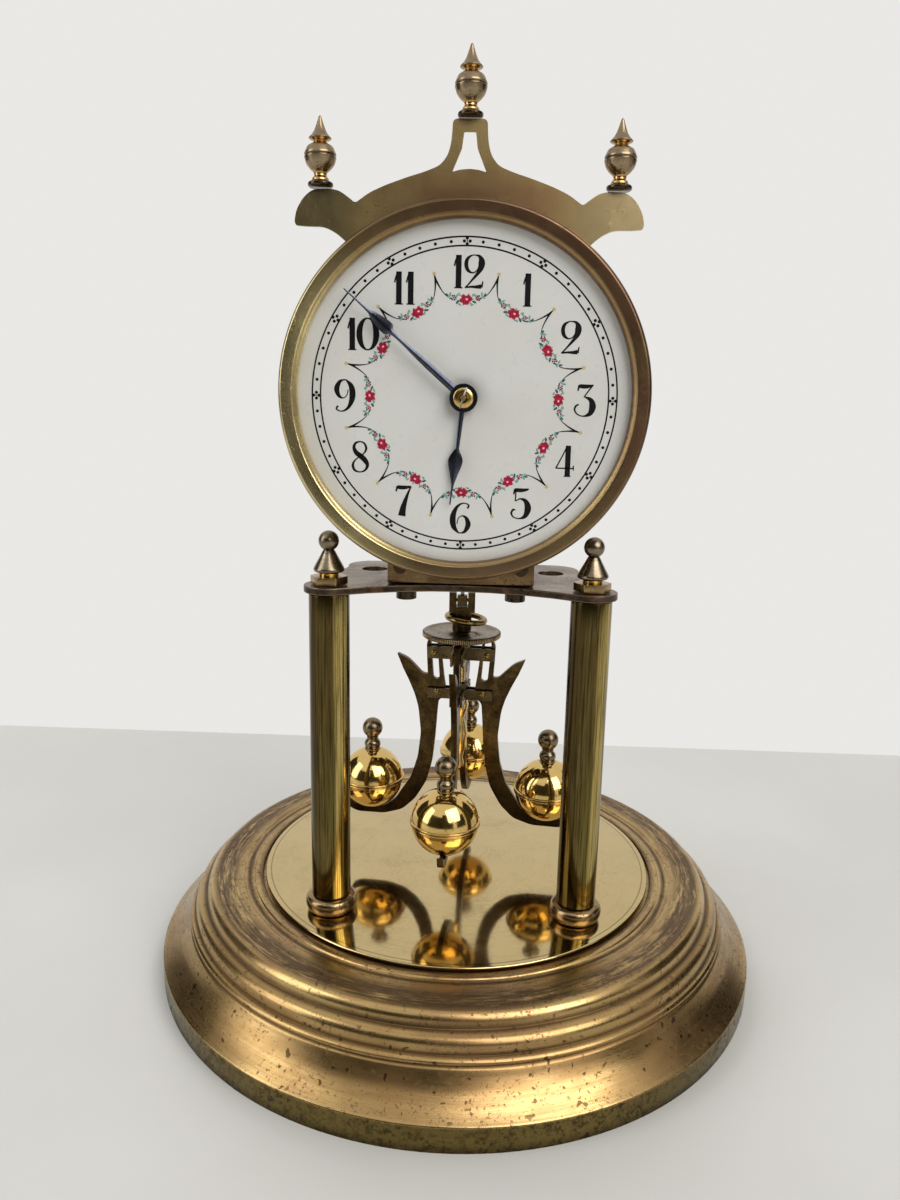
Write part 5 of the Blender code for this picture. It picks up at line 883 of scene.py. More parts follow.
def build_pillar_finial(side):
    """A hexagon nut with a cone and a ball."""
    node = "pillar_finial_" + side
    nut_height, nut_reach, sunk = 2.2 * MM, 5.4 * MM, 0.25 * MM
    cone_radius, cone_height, ball = 4.45 * MM, 7.1 * MM, 2.9 * MM
    corners = [polar(nut_reach, turn) for turn in around_z(6)]
    nut = slab(softened(corners, 0.35 * MM, 3, closed=True), 0.0, nut_height, bevel=0.22 * MM)
    cone = scaled(FINIAL_CONE_SHARES, cone_radius, cone_height, nut_height + sunk)
    cone = [(0.0, nut_height - sunk)] + softened(cone, 0.45 * MM, 5)
    ball_z = nut_height + cone_height + ball
    cone += arc((0.0, ball_z), ball, -60, 90, 22)[:-1] + [(0.0, ball_z + ball)]
    whole = merged(nut, lathe(cone, SMALL_STEPS))
    item = mesh_object(node + "_fine", whole, METAL["nut_nickel"], 35, 2)
    stands_for(placed(item, (*middle("foot_collar_" + side).xy, low(node).z)), node)


# Bezel and crest

BEZEL_FACE_SHARES = ((1.0, 0.84), (0.918, 0.95), (0.816, 1.0), (0.224, 0.97), (0.143, 0.88), (0.0, 0.8))
CREST_HALF_SHARES = (
    (0.115, 1.0), (0.118, 0.955), (0.125, 0.915), (0.145, 0.875), (0.195, 0.84), (0.30, 0.817),
    (0.41, 0.799), (0.56, 0.770), (0.67, 0.743), (0.765, 0.706), (0.80, 0.722), (0.87, 0.748), (0.93, 0.755),
    (1.05, 0.753), (1.115, 0.725), (1.165, 0.68), (1.178, 0.64), (1.17, 0.625), (1.10, 0.622), (0.974, 0.621),
    (0.89, 0.598), (0.80, 0.555),
)
CREST_SLOT_SHARES = (
    (0.039, 0.957), (0.052, 0.90), (0.115, 0.818), (0.06, 0.826), (0.0, 0.829), (-0.06, 0.826),
    (-0.115, 0.818), (-0.052, 0.90), (-0.039, 0.957),
)
CREST_FINIAL_LOWER = (
    (0.70, 0.0), (0.79, 0.02), (0.79, 0.065), (0.56, 0.085), (0.53, 0.12), (0.39, 0.16), (0.41, 0.205),
    (0.64, 0.25), (0.88, 0.32),
)
CREST_FINIAL_SEAM = (
    (0.985, 0.405), (1.0, 0.42), (0.95, 0.432), (0.95, 0.443), (1.0, 0.455), (0.975, 0.475),
)
CREST_FINIAL_UPPER = (
    (0.97, 0.48), (0.80, 0.57), (0.46, 0.612), (0.39, 0.64), (0.64, 0.665), (0.72, 0.683), (0.60, 0.71),
    (0.40, 0.77), (0.26, 0.85), (0.15, 0.93), (0.08, 0.985), (0.0, 1.0),
)
HUB_Z = middle("hand_washer").z
FACING = (math.pi / 2, 0.0, 0.0)


def build_bezel():
    back, depth, rim = -high("bezel").y, high("bezel").y - low("bezel").y, half_width("bezel")
    sight, gap = 44.0 * MM, 0.3 * MM
    room, seat = high("dial").x + gap, -low("dial").y + gap - back
    face = [(sight + u * (rim - sight), v * depth) for u, v in BEZEL_FACE_SHARES]
    profile = [(room, 0.0), (rim, 0.0)] + face + [(sight, seat), (room, seat)]
    profile = softened(profile, 0.55 * MM, 5, closed=True)
    place = (0.0, -back, middle("bezel").z)
    turned_piece("bezel", profile, LARGE_STEPS, "bezel_brass", 50, place, FACING)


def build_crest():
    """The crest plate, its lower edge hidden behind the bezel."""
    ear, tall, inner = 38.4 * MM, high("crest").z - HUB_Z, 44.5 * MM
    centre = middle("bezel").z
    right = scaled(CREST_HALF_SHARES, ear, tall, HUB_Z)
    across, up = right[-1][0], right[-1][1] - centre
    reach = math.degrees(math.asin(across / math.hypot(across, up)))
    side = softened([(0.0, right[0][1])] + right, 1.6 * MM, 5)[1:]
    hidden = arc((0.0, centre), inner, 90 - reach, 90 + reach, 48)
    outline = side + hidden + [(-x, z) for x, z in reversed(side)]
    slot = softened(scaled(CREST_SLOT_SHARES, ear, tall, HUB_Z), 0.35 * MM, 4, closed=True)
    plate = slab(outline, -high("crest").y, -low("crest").y, [slot], 0.14 * MM)
    stands_for(mesh_object("crest_fine", stood_up(plate), METAL["crest_brass"], 35, 1), "crest")


def build_crest_finial(label):
    node, wide = "crest_finial_" + label, 4.15 * MM
    shares = (*CREST_FINIAL_LOWER, *CREST_FINIAL_SEAM, *CREST_FINIAL_UPPER)
    profile = [(0.0, 0.0)] + softened(scaled(shares, wide, height_of(node)), 0.55 * MM, 4)
    place = (*middle(node).xy, low(node).z)
    turned_piece(node, profile, 64, "finial_nickel", 60, place)


# Dial: the print's sizes and places are in millimetres

PRINT_LIFT = 0.03
HOUR_RADIUS = 31.8
TRACK_RADII = (40.3, 38.1)
TRACK_MIDDLE = 39.2
TRACK_LINE = 0.41
TRACK_DOT = 0.41
HOUR_DOT = 0.42
DOT_LIFT = 0.035
SWAG_RADIUS = 24.9
SWAG_END_RADIUS = 32.3
NUMERAL_HEIGHT = 8.2
STROKE_GAIN = 1.08
INK_SPREAD = 0.09
WEDGE_BAR = [(-0.22, 0.80, 0.03), (-0.20, 0.90, 0.05), (-0.16, 0.945, 0.10), (0.0, 0.94, 0.11),
             (0.16, 0.955, 0.08), (0.27, 0.985, 0.03)]
SIX = [(0.20, 0.82, 0.05), (0.25, 0.92, 0.04), (0.12, 0.99, 0.025), (-0.04, 0.95, 0.05), (-0.18, 0.80, 0.10),
       (-0.27, 0.52, 0.17), (-0.24, 0.22, 0.15), (-0.10, 0.03, 0.05), (0.0, 0.0, 0.03), (0.14, 0.06, 0.09),
       (0.24, 0.28, 0.15), (0.17, 0.50, 0.09), (0.03, 0.57, 0.025), (-0.09, 0.48, 0.02), (-0.13, 0.30, 0.02)]
ZERO = [(0.27 * math.sin(math.tau * k / 20), 0.5 + 0.485 * math.cos(math.tau * k / 20),
         0.03 + 0.14 * abs(math.sin(math.tau * k / 20)) ** 1.6) for k in range(21)]
# Strokes of the numerals as (across, up, width) in units of their height
STROKES = {
    "0": (ZERO,),
    "1": ([(0.0, 0.99, 0.155), (0.0, 0.5, 0.155), (0.0, 0.01, 0.155)],
          [(-0.13, 0.012, 0.025), (0.13, 0.012, 0.025)],
          [(-0.03, 0.97, 0.02), (-0.09, 0.85, 0.03), (-0.135, 0.66, 0.035)]),
    "2": ([(0.13, 0.80, 0.015), (0.12, 0.62, 0.02), (0.02, 0.49, 0.025), (-0.10, 0.47, 0.04),
           (-0.22, 0.56, 0.09), (-0.265, 0.73, 0.105), (-0.22, 0.89, 0.08), (-0.09, 0.98, 0.03),
           (0.02, 0.99, 0.025), (0.15, 0.95, 0.08), (0.22, 0.80, 0.17), (0.20, 0.62, 0.15),
           (0.10, 0.45, 0.09), (-0.06, 0.26, 0.05), (-0.20, 0.10, 0.035), (-0.29, 0.02, 0.03)],
          [(-0.29, 0.02, 0.03), (-0.10, 0.045, 0.05), (0.08, 0.045, 0.08), (0.22, 0.06, 0.12)],
          [(0.235, 0.03, 0.05), (0.27, 0.22, 0.02)]),
    "3": (WEDGE_BAR, [(0.25, 0.98, 0.03), (0.10, 0.78, 0.03), (-0.02, 0.60, 0.03)],
          [(0.02, 0.61, 0.03), (0.20, 0.52, 0.12), (0.27, 0.32, 0.19), (0.20, 0.10, 0.13), (0.0, 0.01, 0.035),
           (-0.20, 0.06, 0.03), (-0.30, 0.20, 0.04), (-0.26, 0.33, 0.05), (-0.17, 0.37, 0.03)]),
    "4": ([(0.08, 1.0, 0.15), (0.08, 0.5, 0.15), (0.08, 0.01, 0.15)],
          [(-0.03, 0.012, 0.025), (0.19, 0.012, 0.025)],
          [(0.05, 1.0, 0.03), (-0.12, 0.63, 0.03), (-0.30, 0.27, 0.03)],
          [(-0.30, 0.27, 0.03), (0.27, 0.27, 0.03)],
          [(0.27, 0.20, 0.02), (0.27, 0.36, 0.03)]),
    "5": (WEDGE_BAR, [(-0.15, 0.95, 0.03), (-0.16, 0.58, 0.03)],
          [(-0.15, 0.58, 0.02), (0.0, 0.66, 0.04), (0.18, 0.58, 0.12), (0.26, 0.35, 0.19),
           (0.18, 0.10, 0.12), (0.0, 0.01, 0.035), (-0.20, 0.05, 0.03), (-0.28, 0.18, 0.05),
           (-0.22, 0.30, 0.05), (-0.15, 0.28, 0.02)]),
    "6": (SIX,),
    "7": (WEDGE_BAR,
          [(0.27, 0.98, 0.03), (0.18, 0.78, 0.06), (0.09, 0.53, 0.11), (0.01, 0.25, 0.17),
           (-0.03, 0.0, 0.22)]),
    "8": ([(0.0, 0.99, 0.03), (-0.15, 0.93, 0.06), (-0.20, 0.78, 0.09), (-0.12, 0.62, 0.13),
           (0.04, 0.50, 0.15), (0.18, 0.36, 0.14), (0.24, 0.20, 0.09), (0.15, 0.05, 0.05), (0.0, 0.0, 0.03),
           (-0.17, 0.05, 0.06), (-0.24, 0.20, 0.07), (-0.18, 0.36, 0.04), (-0.02, 0.50, 0.025),
           (0.12, 0.60, 0.03), (0.20, 0.76, 0.06), (0.14, 0.93, 0.045), (0.0, 0.99, 0.03)],),
    "9": ([(-x, 1.0 - y, w) for x, y, w in SIX],),
}


def ribbon(bm, points, lift=PRINT_LIFT, steps=7):
    """A printed stroke through (x, y, width) points."""
    curve = catmull(points, steps) if len(points) > 2 else list(points)
    sides = []
    for k, (x, y, width) in enumerate(curve):
        before, after = curve[max(k - 1, 0)], curve[min(k + 1, len(curve) - 1)]
        way = Vector((after[0] - before[0], after[1] - before[1])).normalized()
        across = Vector((-way.y, way.x)) * width / 2
        ends = ((x + side * across.x, y + side * across.y, lift) for side in (-1, 1))
        sides.append([bm.verts.new(Vector(end) * MM) for end in ends])
    for first, second in zip(sides, sides[1:]):
        bm.faces.new((first[0], second[0], second[1], first[1]))


def spot(bm, point, wide, tall, turn, lift, corners=14, wobble=0.0, seed=0):
    """A printed dab: an ellipse, turned, with an uneven edge if asked."""
    chance = random.Random(seed)
    ring = []
    for angle in around_z(corners):
        reach = 1.0 + wobble * (chance.random() - 0.5)
        across, along = wide * reach * math.cos(angle), tall * reach * math.sin(angle)
        x = point[0] + across * math.cos(turn) - along * math.sin(turn)
        y = point[1] + across * math.sin(turn) + along * math.cos(turn)
        ring.append(bm.verts.new((x * MM, y * MM, lift * MM)))
    bm.faces.new(ring)


def print_numeral(bm, digits, x, y):
    """A numeral of one or two digits, centred on a point."""
    step = 0.375 if digits == "11" else 0.50
    start = -step * (len(digits) - 1) / 2
    for place, digit in enumerate(digits):
        across = start + step * place
        for stroke in STROKES[digit]:
            ribbon(bm, [
                (x + (across + u) * NUMERAL_HEIGHT, y + (v - 0.5) * NUMERAL_HEIGHT,
                 w * STROKE_GAIN * NUMERAL_HEIGHT + INK_SPREAD) for u, v, w in stroke
            ])


def print_rings(bm):
    """The minute track: two rings, a dot for each minute, and four dots for each fifth one."""
    for radius in TRACK_RADII:
        ribbon(bm, [(*clock_point(radius, 1.5 * k), TRACK_LINE) for k in range(241)], steps=1)
    for minute in range(60):
        angle = minute * 6
        if minute % 5:
            spot(bm, clock_point(TRACK_MIDDLE, angle), TRACK_DOT, TRACK_DOT, 0.0, DOT_LIFT)
            continue
        for out, turn in ((0.75, 0.0), (-0.7, 0.0), (0.0, 1.08), (0.0, -1.08)):
            spot(bm, clock_point(TRACK_MIDDLE + out, angle + turn), HOUR_DOT, HOUR_DOT, 0.0, DOT_LIFT)
        if minute % 15 == 0:
            ribbon(bm, [(*clock_point(radius, angle), 0.2) for radius in (38.2, 40.2)], 0.033)


# One side of a swag as (degrees from its rose, radius, width), and its leaves as (along, out, turn, size)
SWAG = (
    (15.0, 31.9, 0.30), (14.85, 30.9, 0.40), (14.5, 29.9, 0.44), (13.8, 28.7, 0.34), (12.7, 27.4, 0.24),
    (11.6, 26.55, 0.20), (10.9, 26.2, 0.26),
)
LEAVES = (
    (4.85, 1.15, 0.9, 0.42), (4.55, 0.55, -0.5, 0.36), (4.10, 1.25, 1.9, 0.44), (3.95, 0.25, 0.3, 0.34),
    (2.35, 0.95, 2.3, 0.46), (1.85, 1.20, 1.2, 0.36), (2.20, -0.60, -0.7, 0.46), (1.55, -1.15, 0.5, 0.38),
    (2.65, 0.10, 0.1, 0.30),
)


def print_garland(inks, hour, chance):
    """The swag of one hour: two curves down from the gold dots, leaves, berries and a rose."""
    centre = 30 * hour
    facing = math.radians(centre)

    def put(along, out):
        """A point of the garland, along the dial and outwards from the rose."""
        radius = SWAG_RADIUS + out
        return (radius * math.sin(facing) + along * math.cos(facing),
                radius * math.cos(facing) - along * math.sin(facing))

    def rosette(name, count, spread, across, out, wide, tall, lift, corners=10, wobble=0.2, lean=0.0):
        """A ring of dabs round the rose's middle."""
        for k, turn in enumerate(around_z(count)):
            angle = turn + chance.uniform(-spread, spread)
            point = put(across * math.cos(angle), out * math.sin(angle))
            spot(inks[name], point, wide, tall, angle + lean - facing, lift + 0.001 * k, corners, wobble,
                 chance.random())

    for side in (-1, 1):
        curve = [(*clock_point(radius, centre + side * turn), width) for turn, radius, width in SWAG]
        ribbon(inks["black"], curve)
        for k, (along, out, turn, size) in enumerate(LEAVES):
            point = put(side * (along + chance.uniform(-0.12, 0.12)), out + chance.uniform(-0.15, 0.15))
            lean = side * turn + chance.uniform(-0.3, 0.3) - facing
            spot(inks["teal" if k % 3 else "deep_teal"], point, size * 1.35, size * 0.62, lean,
                 PRINT_LIFT + 0.001 * k, 10, 0.25, chance.random())
        for k, turn in enumerate(around_z(6)):
            angle = turn + chance.uniform(-0.2, 0.2)
            reach = 0.54 if k else 0.0
            point = put(side * (3.25 + reach * math.cos(angle)), 0.42 + reach * math.sin(angle))
            spot(inks["plum" if k % 3 else "crimson"], point, 0.25, 0.21, angle, 0.045 + 0.001 * k, 10, 0.25,
                 chance.random())
    rosette("deep_teal", 7, 0.3, 1.62, 1.28, 0.36, 0.12, 0.031)
    rosette("crimson", 6, 0.25, 1.0, 0.72, 0.68, 0.60, 0.040, 14, 0.25)
    spot(inks["crimson"], put(0.0, 0.0), 1.15, 0.95, -facing, 0.047, 18, 0.1, chance.random())
    rosette("deep_red", 5, 0.3, 0.88, 0.68, 0.40, 0.11, 0.049, lean=1.5)
    point = put(0.25 + chance.uniform(-0.15, 0.15), 0.1)
    spot(inks["pink"], point, 0.38, 0.30, -facing, 0.056, 12, 0.2, chance.random())
    spot(inks["pale"], point, 0.20, 0.15, -facing, 0.059, 12, 0.2, chance.random())
    end = clock_point(SWAG_END_RADIUS, centre + 15)
    spot(inks["gold"], end, 0.46, 0.46, 0.0, 0.036, 14, 0.15, chance.random())


INK_COLOURS = {
    "black": (3, 3, 5), "gold": (190, 164, 112), "teal": (112, 154, 146), "deep_teal": (50, 88, 84),
    "crimson": (160, 28, 56), "deep_red": (92, 8, 30), "plum": (84, 24, 50), "pink": (216, 118, 140),
    "pale": (240, 206, 204),
}


def build_dial():
    back, bore, soft = 41.2 * MM, 3.0 * MM, 0.3 * MM
    thick, flat_rim = -low("dial").y - back, half_width("dial") - soft
    profile = [(bore, 0.0), (flat_rim, 0.0)] + arc((flat_rim, thick - soft), soft, 0, 90, 5)
    profile += [(flat_rim * k / 6, thick) for k in range(5, 0, -1)]
    profile += [(bore + 0.2 * MM, thick), (bore, thick - 0.2 * MM)]
    item = mesh_object("dial_fine", lathe(profile, LARGE_STEPS), enamel(), 50)
    stands_for(placed(item, (0.0, -back, middle("bezel").z), FACING), "dial")


def print_dial():
    """Numerals, minute track and garland, one flat piece for each ink."""
    inks = {name: bmesh.new() for name in INK_COLOURS}
    print_rings(inks["black"])
    chance = random.Random(SEED)
    for hour in range(1, 13):
        print_numeral(inks["black"], str(hour), *clock_point(HOUR_RADIUS, 30 * hour))
        print_garland(inks, hour, chance)
    for name, bm in inks.items():
        for face in bm.faces:
            face.normal_update()
            if face.normal.z < 0:
                face.normal_flip()
        item = flat_object("dial_print_" + name, bm, ink(name, srgb(*INK_COLOURS[name])))
        rides_with(placed(item, (0.0, low("dial").y, HUB_Z), FACING), "dial")


# Hands

MINUTE_HAND_SHARES = (
    (0.27, 0.0), (0.25, 0.30), (0.14, 0.575), (0.47, 0.64), (0.30, 0.75), (0.11, 0.81), (0.055, 1.0),
)
HOUR_HAND_SHARES = (
    (0.19, 0.0), (0.15, 0.42), (0.15, 0.47), (0.52, 0.58), (0.27, 0.72), (0.09, 0.83), (0.05, 1.0),
)
WASHER_SHARES = ((1.0, 0.0), (1.0, 0.35), (0.94, 0.62), (0.75, 0.88), (0.55, 1.0))
HAND_HUB = 3.7 * MM
HAND_THICK = 0.5 * MM
THINNEST = 0.19 * MM


def hand_mesh(shares, length, bore):
    """A hand that points up: a domed blade on a flat hub with a hole."""
    widths = catmull([(v * length, max(u * HAND_HUB, THINNEST)) for u, v in shares], 10)
    bm = bmesh.new()
    rows = []
    for y, wide in widths:
        if y <= HAND_HUB * 0.6:
            continue
        crown = min(HAND_THICK * 0.55, wide * 0.5)
        dome = [(k / 4, HAND_THICK - crown * abs(k / 4) ** 1.3) for k in range(-4, 5)]
        section = dome + [(0.96, 0.0), (-0.96, 0.0)]
        rows.append([bm.verts.new((across * wide, y, z)) for across, z in section])
    join_rings(bm, rows)
    bm.faces.new(rows[0])
    bm.faces.new(rows[-1][::-1])
    soft = 0.12 * MM
    hub = [(bore, 0.0), (HAND_HUB - soft, 0.0), (HAND_HUB, soft), (HAND_HUB, HAND_THICK - soft),
           (HAND_HUB - soft, HAND_THICK), (bore, HAND_THICK)]
    return merged(bm, lathe(hub, MIDDLE_STEPS))


def build_hand(node, shares, length, bore, degrees):
    """A hand at the time that the photograph shows, in degrees from the top."""
    bm = hand_mesh(shares, length, bore)
    bmesh.ops.rotate(bm, verts=bm.verts, matrix=Matrix.Rotation(-math.radians(degrees), 3, "Z"))
    item = mesh_object(node + "_fine", bm, METAL["blued_steel"], 40)
    stands_for(placed(item, (0.0, high(node).y, HUB_Z), FACING), node)


def build_hand_fixings():
    """The domed washer over the hands, and the taper pin that holds it."""
    bore, wide = 1.15 * MM, 2.65 * MM
    thick = high("hand_washer").y - low("hand_washer").y
    dome = [(bore, 0.0)] + [(wide * u, thick * v) for u, v in WASHER_SHARES] + [(bore, thick)]
    place = (0.0, high("hand_washer").y, HUB_Z)
    dome = softened(dome, 0.12 * MM, 3, closed=True)
    turned_piece("hand_washer", dome, 64, "gold_brass", 50, place, FACING)

    half = 2.8 * MM
    profile = [(0.0, -half), (0.20 * MM, -half), (0.30 * MM, 2.7 * MM), (0.22 * MM, half), (0.0, half)]
    turned_piece("hand_pin", profile, 20, "steel", 50, middle("hand_pin"), (0.0, math.radians(18), 0.0))


# Pendulum

ARM_SHARES = (
    (0.714, 1.369), (0.605, 1.328), (0.542, 1.280), (0.428, 1.172), (0.364, 1.163), (0.375, 1.330),
    (0.381, 1.480), (0.372, 1.522), (0.340, 1.548), (0.300, 1.552), (0.262, 1.542), (0.232, 1.505),
    (0.189, 1.172), (0.175, 1.092), (0.151, 0.948), (0.242, 0.902), (0.253, 0.797), (0.276, 0.471),
    (0.306, 0.222), (0.364, 0.003), (0.492, -0.200), (0.640, -0.332), (0.852, -0.394), (1.168, -0.397),
    (1.270, -0.355), (1.315, -0.255), (1.29, -0.245), (1.22, -0.300), (1.13, -0.322), (0.870, -0.322),
    (0.798, -0.277), (0.720, -0.220), (0.667, -0.138), (0.542, 0.043), (0.465, 0.277), (0.434, 0.542),
    (0.465, 0.803), (0.505, 0.938), (0.572, 1.083), (0.646, 1.218),
)
# The corner of the outline at the toe, where it turns back
ARM_TOE = 25
ARM_SLOT_SHARES = ((0.2694, 1.155), (0.300, 1.515))
KNOB_SHARES = ((0.53, 0.53), (0.53, 0.56), (0.70, 0.60), (0.82, 0.665), (0.76, 0.73), (0.53, 0.78))
# Radius and height in millimetres
KNOB_FOOT = ((0.0, 9.9), (2.6, 9.9), (2.7, 10.2), (2.3, 10.55), (1.85, 10.7))
KNOB_RISE = 17.6 * MM
KNOB_RADIUS = 3.4 * MM
PENDULUM_TURN = math.radians(-6.0)
BALL_ORBIT = 29.7 * MM
BALL_Z = 55.7 * MM
BALL_RADIUS = 10.4 * MM
ARM_PIN_REACH = 7.5 * MM
ARM_PIN_Z = 88.2 * MM
SLOT_PIN_REACH = 8.7 * MM
SLOT_PIN_Z = 101.3 * MM
BRACKET_SCREW_Z = 135.4 * MM
# Half of the lip at a ball's seam, as millimetres out from the ball and away from the seam
BALL_LIP = ((0.02, 0.74), (0.36, 0.66), (0.40, 0.40), (0.36, 0.14), (0.14, 0.02))
# The disc's rim as millimetres inward, and up from its foot or down from its top
RATING_LOWER_EDGE = ((2.0, 0.0), (0.448, 0.05), (0.28, 0.12), (0.0, 0.35), (0.0, 0.95))
RATING_UPPER_EDGE = ((0.0, 0.35), (0.28, 0.12), (0.448, 0.05), (1.6, 0.02), (1.9, 0.22))


def arm_angle(k):
    """The direction of one arm from the centre, the front arm first."""
    return PENDULUM_TURN - math.pi / 2 + math.tau * k / 4


def build_arm(label, angle):
    """A flat arm: a horn, a slot for its upper pin, a hole for its lower one, a foot under its ball."""
    rise = ARM_PIN_Z - BALL_Z

    def from_pin(shares):
        """Shares of the ball's orbit and of the pin's height over it, as places from the lower pin."""
        return [(x - ARM_PIN_REACH, z) for x, z in scaled(shares, BALL_ORBIT, rise, -rise)]

    softness = [1.6 * MM] * len(ARM_SHARES)
    softness[0] = softness[-1] = 0.25 * MM
    softness[ARM_TOE] = softness[ARM_TOE + 1] = 0.35 * MM
    outline = softened(from_pin(ARM_SHARES), softness, 5, closed=True)
    foot, head = from_pin(ARM_SLOT_SHARES)
    way = math.degrees(math.atan2(head[1] - foot[1], head[0] - foot[0]))
    slot = arc(head, 1.1 * MM, way - 90, way + 90, 10) + arc(foot, 1.1 * MM, way + 90, way + 270, 10)
    pivot = arc((0.0, 0.0), 1.05 * MM, 0, 345, 23)
    plate = stood_up(slab(outline, -1.0 * MM, 1.0 * MM, [slot, pivot], 0.18 * MM))
    item = mesh_object("arm_" + label + "_fine", plate, METAL["dark_bronze"], 35, 1)
    stands_for(placed(item, (*polar(ARM_PIN_REACH, angle), ARM_PIN_Z), (0.0, 0.0, angle)), "arm_" + label)


def build_pin_heads(label, angle):
    """The domed ends of one arm's two pins, on both cheeks of each cross."""
    wide, tall, sunk, cheek = 0.95 * MM, 0.42 * MM, 0.1 * MM, 2.1 * MM
    dome = [(0.0, -sunk), (wide, -sunk)] + [(x * wide, z * tall) for x, z in arc((0.0, 0.0), 1.0, 0, 75, 5)]
    upper, lower = (SLOT_PIN_REACH, SLOT_PIN_Z), (ARM_PIN_REACH, ARM_PIN_Z)
    for node, (reach, z) in (("upper_cross", upper), ("lower_cross", lower)):
        heads = []
        for side in (-1, 1):
            bm = lathe(dome + [(0.0, tall)], 24)
            bmesh.ops.rotate(bm, verts=bm.verts, matrix=Matrix.Rotation(-side * math.pi / 2, 3, "X"))
            bmesh.ops.translate(bm, verts=bm.verts, vec=(0.0, side * cheek, 0.0))
            heads.append(bm)
        item = mesh_object(f"pin_heads_{node[:5]}_{label}", merged(*heads), METAL["ring_brass"], 50)
        rides_with(placed(item, (*polar(reach, angle), z), (0.0, 0.0, angle)), node)


def build_bracket_screw(side, x, degrees):
    """A slotted screw head on the front of the bracket that carries the movement."""
    wide, tall, half_slot = 2.0 * MM, 0.85 * MM, 0.28 * MM
    profile = [(0.0, 0.0), (wide, 0.0), (wide, tall * 0.8), (wide * 0.8, tall), (0.0, tall)]
    pieces = [lathe([(0.0, 0.0), (wide * 0.97, 0.0), (wide * 0.97, tall * 0.4), (0.0, tall * 0.4)], 32)]
    for way in (-1, 1):
        half = lathe(softened(profile, 0.2 * MM, 3), 32)
        cut = bmesh.ops.bisect_plane(
            half, geom=half.verts[:] + half.edges[:] + half.faces[:], plane_co=(0.0, way * half_slot, 0.0),
            plane_no=(0.0, way, 0.0), clear_inner=True,
        )["geom_cut"]
        bmesh.ops.edgeloop_fill(half, edges=[part for part in cut if isinstance(part, bmesh.types.BMEdge)])
        pieces.append(half)
    item = mesh_object("bracket_screw_" + side, merged(*pieces), METAL["screw_dark"], 40)
    place = (x, low("seat_bracket").y, BRACKET_SCREW_Z)
    rides_with(placed(item, place, (math.pi / 2, math.radians(degrees), 0.0)), "seat_bracket")


def build_ball(label, angle):
    """A ball of two halves with a lip at their seam, and the knob screw on top of it."""
    flat = 2.2 * MM
    foot = [(0.0, -math.sqrt(BALL_RADIUS**2 - flat**2)), (flat, -math.sqrt(BALL_RADIUS**2 - flat**2))]
    lip = [(BALL_RADIUS + out * MM, -up * MM) for out, up in BALL_LIP]
    lip += [(radius, -z) for radius, z in reversed(lip)]
    profile = foot + arc((0.0, 0.0), BALL_RADIUS, -77.5, -4.2, 40) + softened(lip, 0.12 * MM, 3)
    profile += arc((0.0, 0.0), BALL_RADIUS, 4.2, 79.5, 42) + [(0.0, BALL_RADIUS * 0.983)]
    place = (*polar(BALL_ORBIT, angle), BALL_Z)
    turned_piece("ball_" + label, profile, MIDDLE_STEPS, "ball_brass", 60, place)

    neck = softened([(u * KNOB_RADIUS, v * KNOB_RISE) for u, v in KNOB_SHARES], 0.5 * MM, 5)
    head = arc((0.0, KNOB_RISE), KNOB_RADIUS, -52, 90, 26)[:-1] + [(0.0, KNOB_RISE + KNOB_RADIUS)]
    profile = [(radius * MM, z * MM) for radius, z in KNOB_FOOT] + neck[1:] + head
    knob = mesh_object("ball_knob_" + label, lathe(profile, SMALL_STEPS), METAL["knob_nickel"], 55)
    rides_with(placed(knob, place), "ball_" + label)


def threaded_rod(radius, depth, pitch, start, end, steps=28):
    """A threaded rod round Z."""
    bm = bmesh.new()
    rows = max(2, round((end - start) / (pitch / 7)))
    rings = []
    for row in range(rows + 1):
        z = start + (end - start) * row / rows
        reaches = [radius - depth * abs(2 * ((z / pitch - k / steps) % 1.0) - 1) for k in range(steps)]
        rings.append([bm.verts.new((*polar(*ends), z)) for ends in zip(reaches, around_z(steps))])
    join_rings(bm, rings)
    bm.faces.new(rings[0][::-1])
    bm.faces.new(rings[-1])
    return bm


def build_rating_disc():
    """A knurled disc with a raised rim and hub, on its threaded sleeve."""
    top, rim, bore = high("rating_disc").z, high("rating_disc").x, 1.0 * MM
    hub_foot, hub_top = 5.6 * MM, 5.3 * MM
    foot, ridges, ridge_depth, dish = top - 1.9 * MM, 132, 0.22 * MM, 0.22 * MM
    profile = [(bore, foot)] + [(rim - inward * MM, foot + up * MM) for inward, up in RATING_LOWER_EDGE]
    profile += [(rim - inward * MM, top - down * MM) for inward, down in RATING_UPPER_EDGE]
    profile += [(hub_foot, top - dish), (hub_top, top), (bore, top)]
    bm = bmesh.new()
    rings = []
    for radius, z in profile:
        depth = ridge_depth if radius > rim - 0.1 * MM else 0.0
        rings.append([
            bm.verts.new((*polar(radius - depth * (0.5 - 0.5 * math.cos(ridges * turn)), turn), z))
            for turn in around_z(ridges * 4)
        ])
    join_rings(bm, rings, closed=True)
    stands_for(mesh_object("rating_disc_fine", bm, METAL["rating_nickel"], 40), "rating_disc")
    sleeve = threaded_rod(
        radius=1.55 * MM, depth=0.26 * MM, pitch=0.62 * MM, start=low("rating_disc").z, end=foot + 0.1 * MM
    )
    rides_with(mesh_object("rating_sleeve", sleeve, METAL["gold_brass"], 60), "rating_disc")


def build_hook_ring():
    radius, wire, tilt = 6.1 * MM, 0.95 * MM, math.radians(6.6)
    profile, place = arc((radius, 0.0), wire, 0, 342, 19), (1.3 * MM, 0.0, 113.0 * MM)
    turned_piece("hook_ring", profile, MIDDLE_STEPS, "ring_brass", 60, place, (0.0, tilt, 0.0))


# Solids kept from the model: soft edges and smooth curves

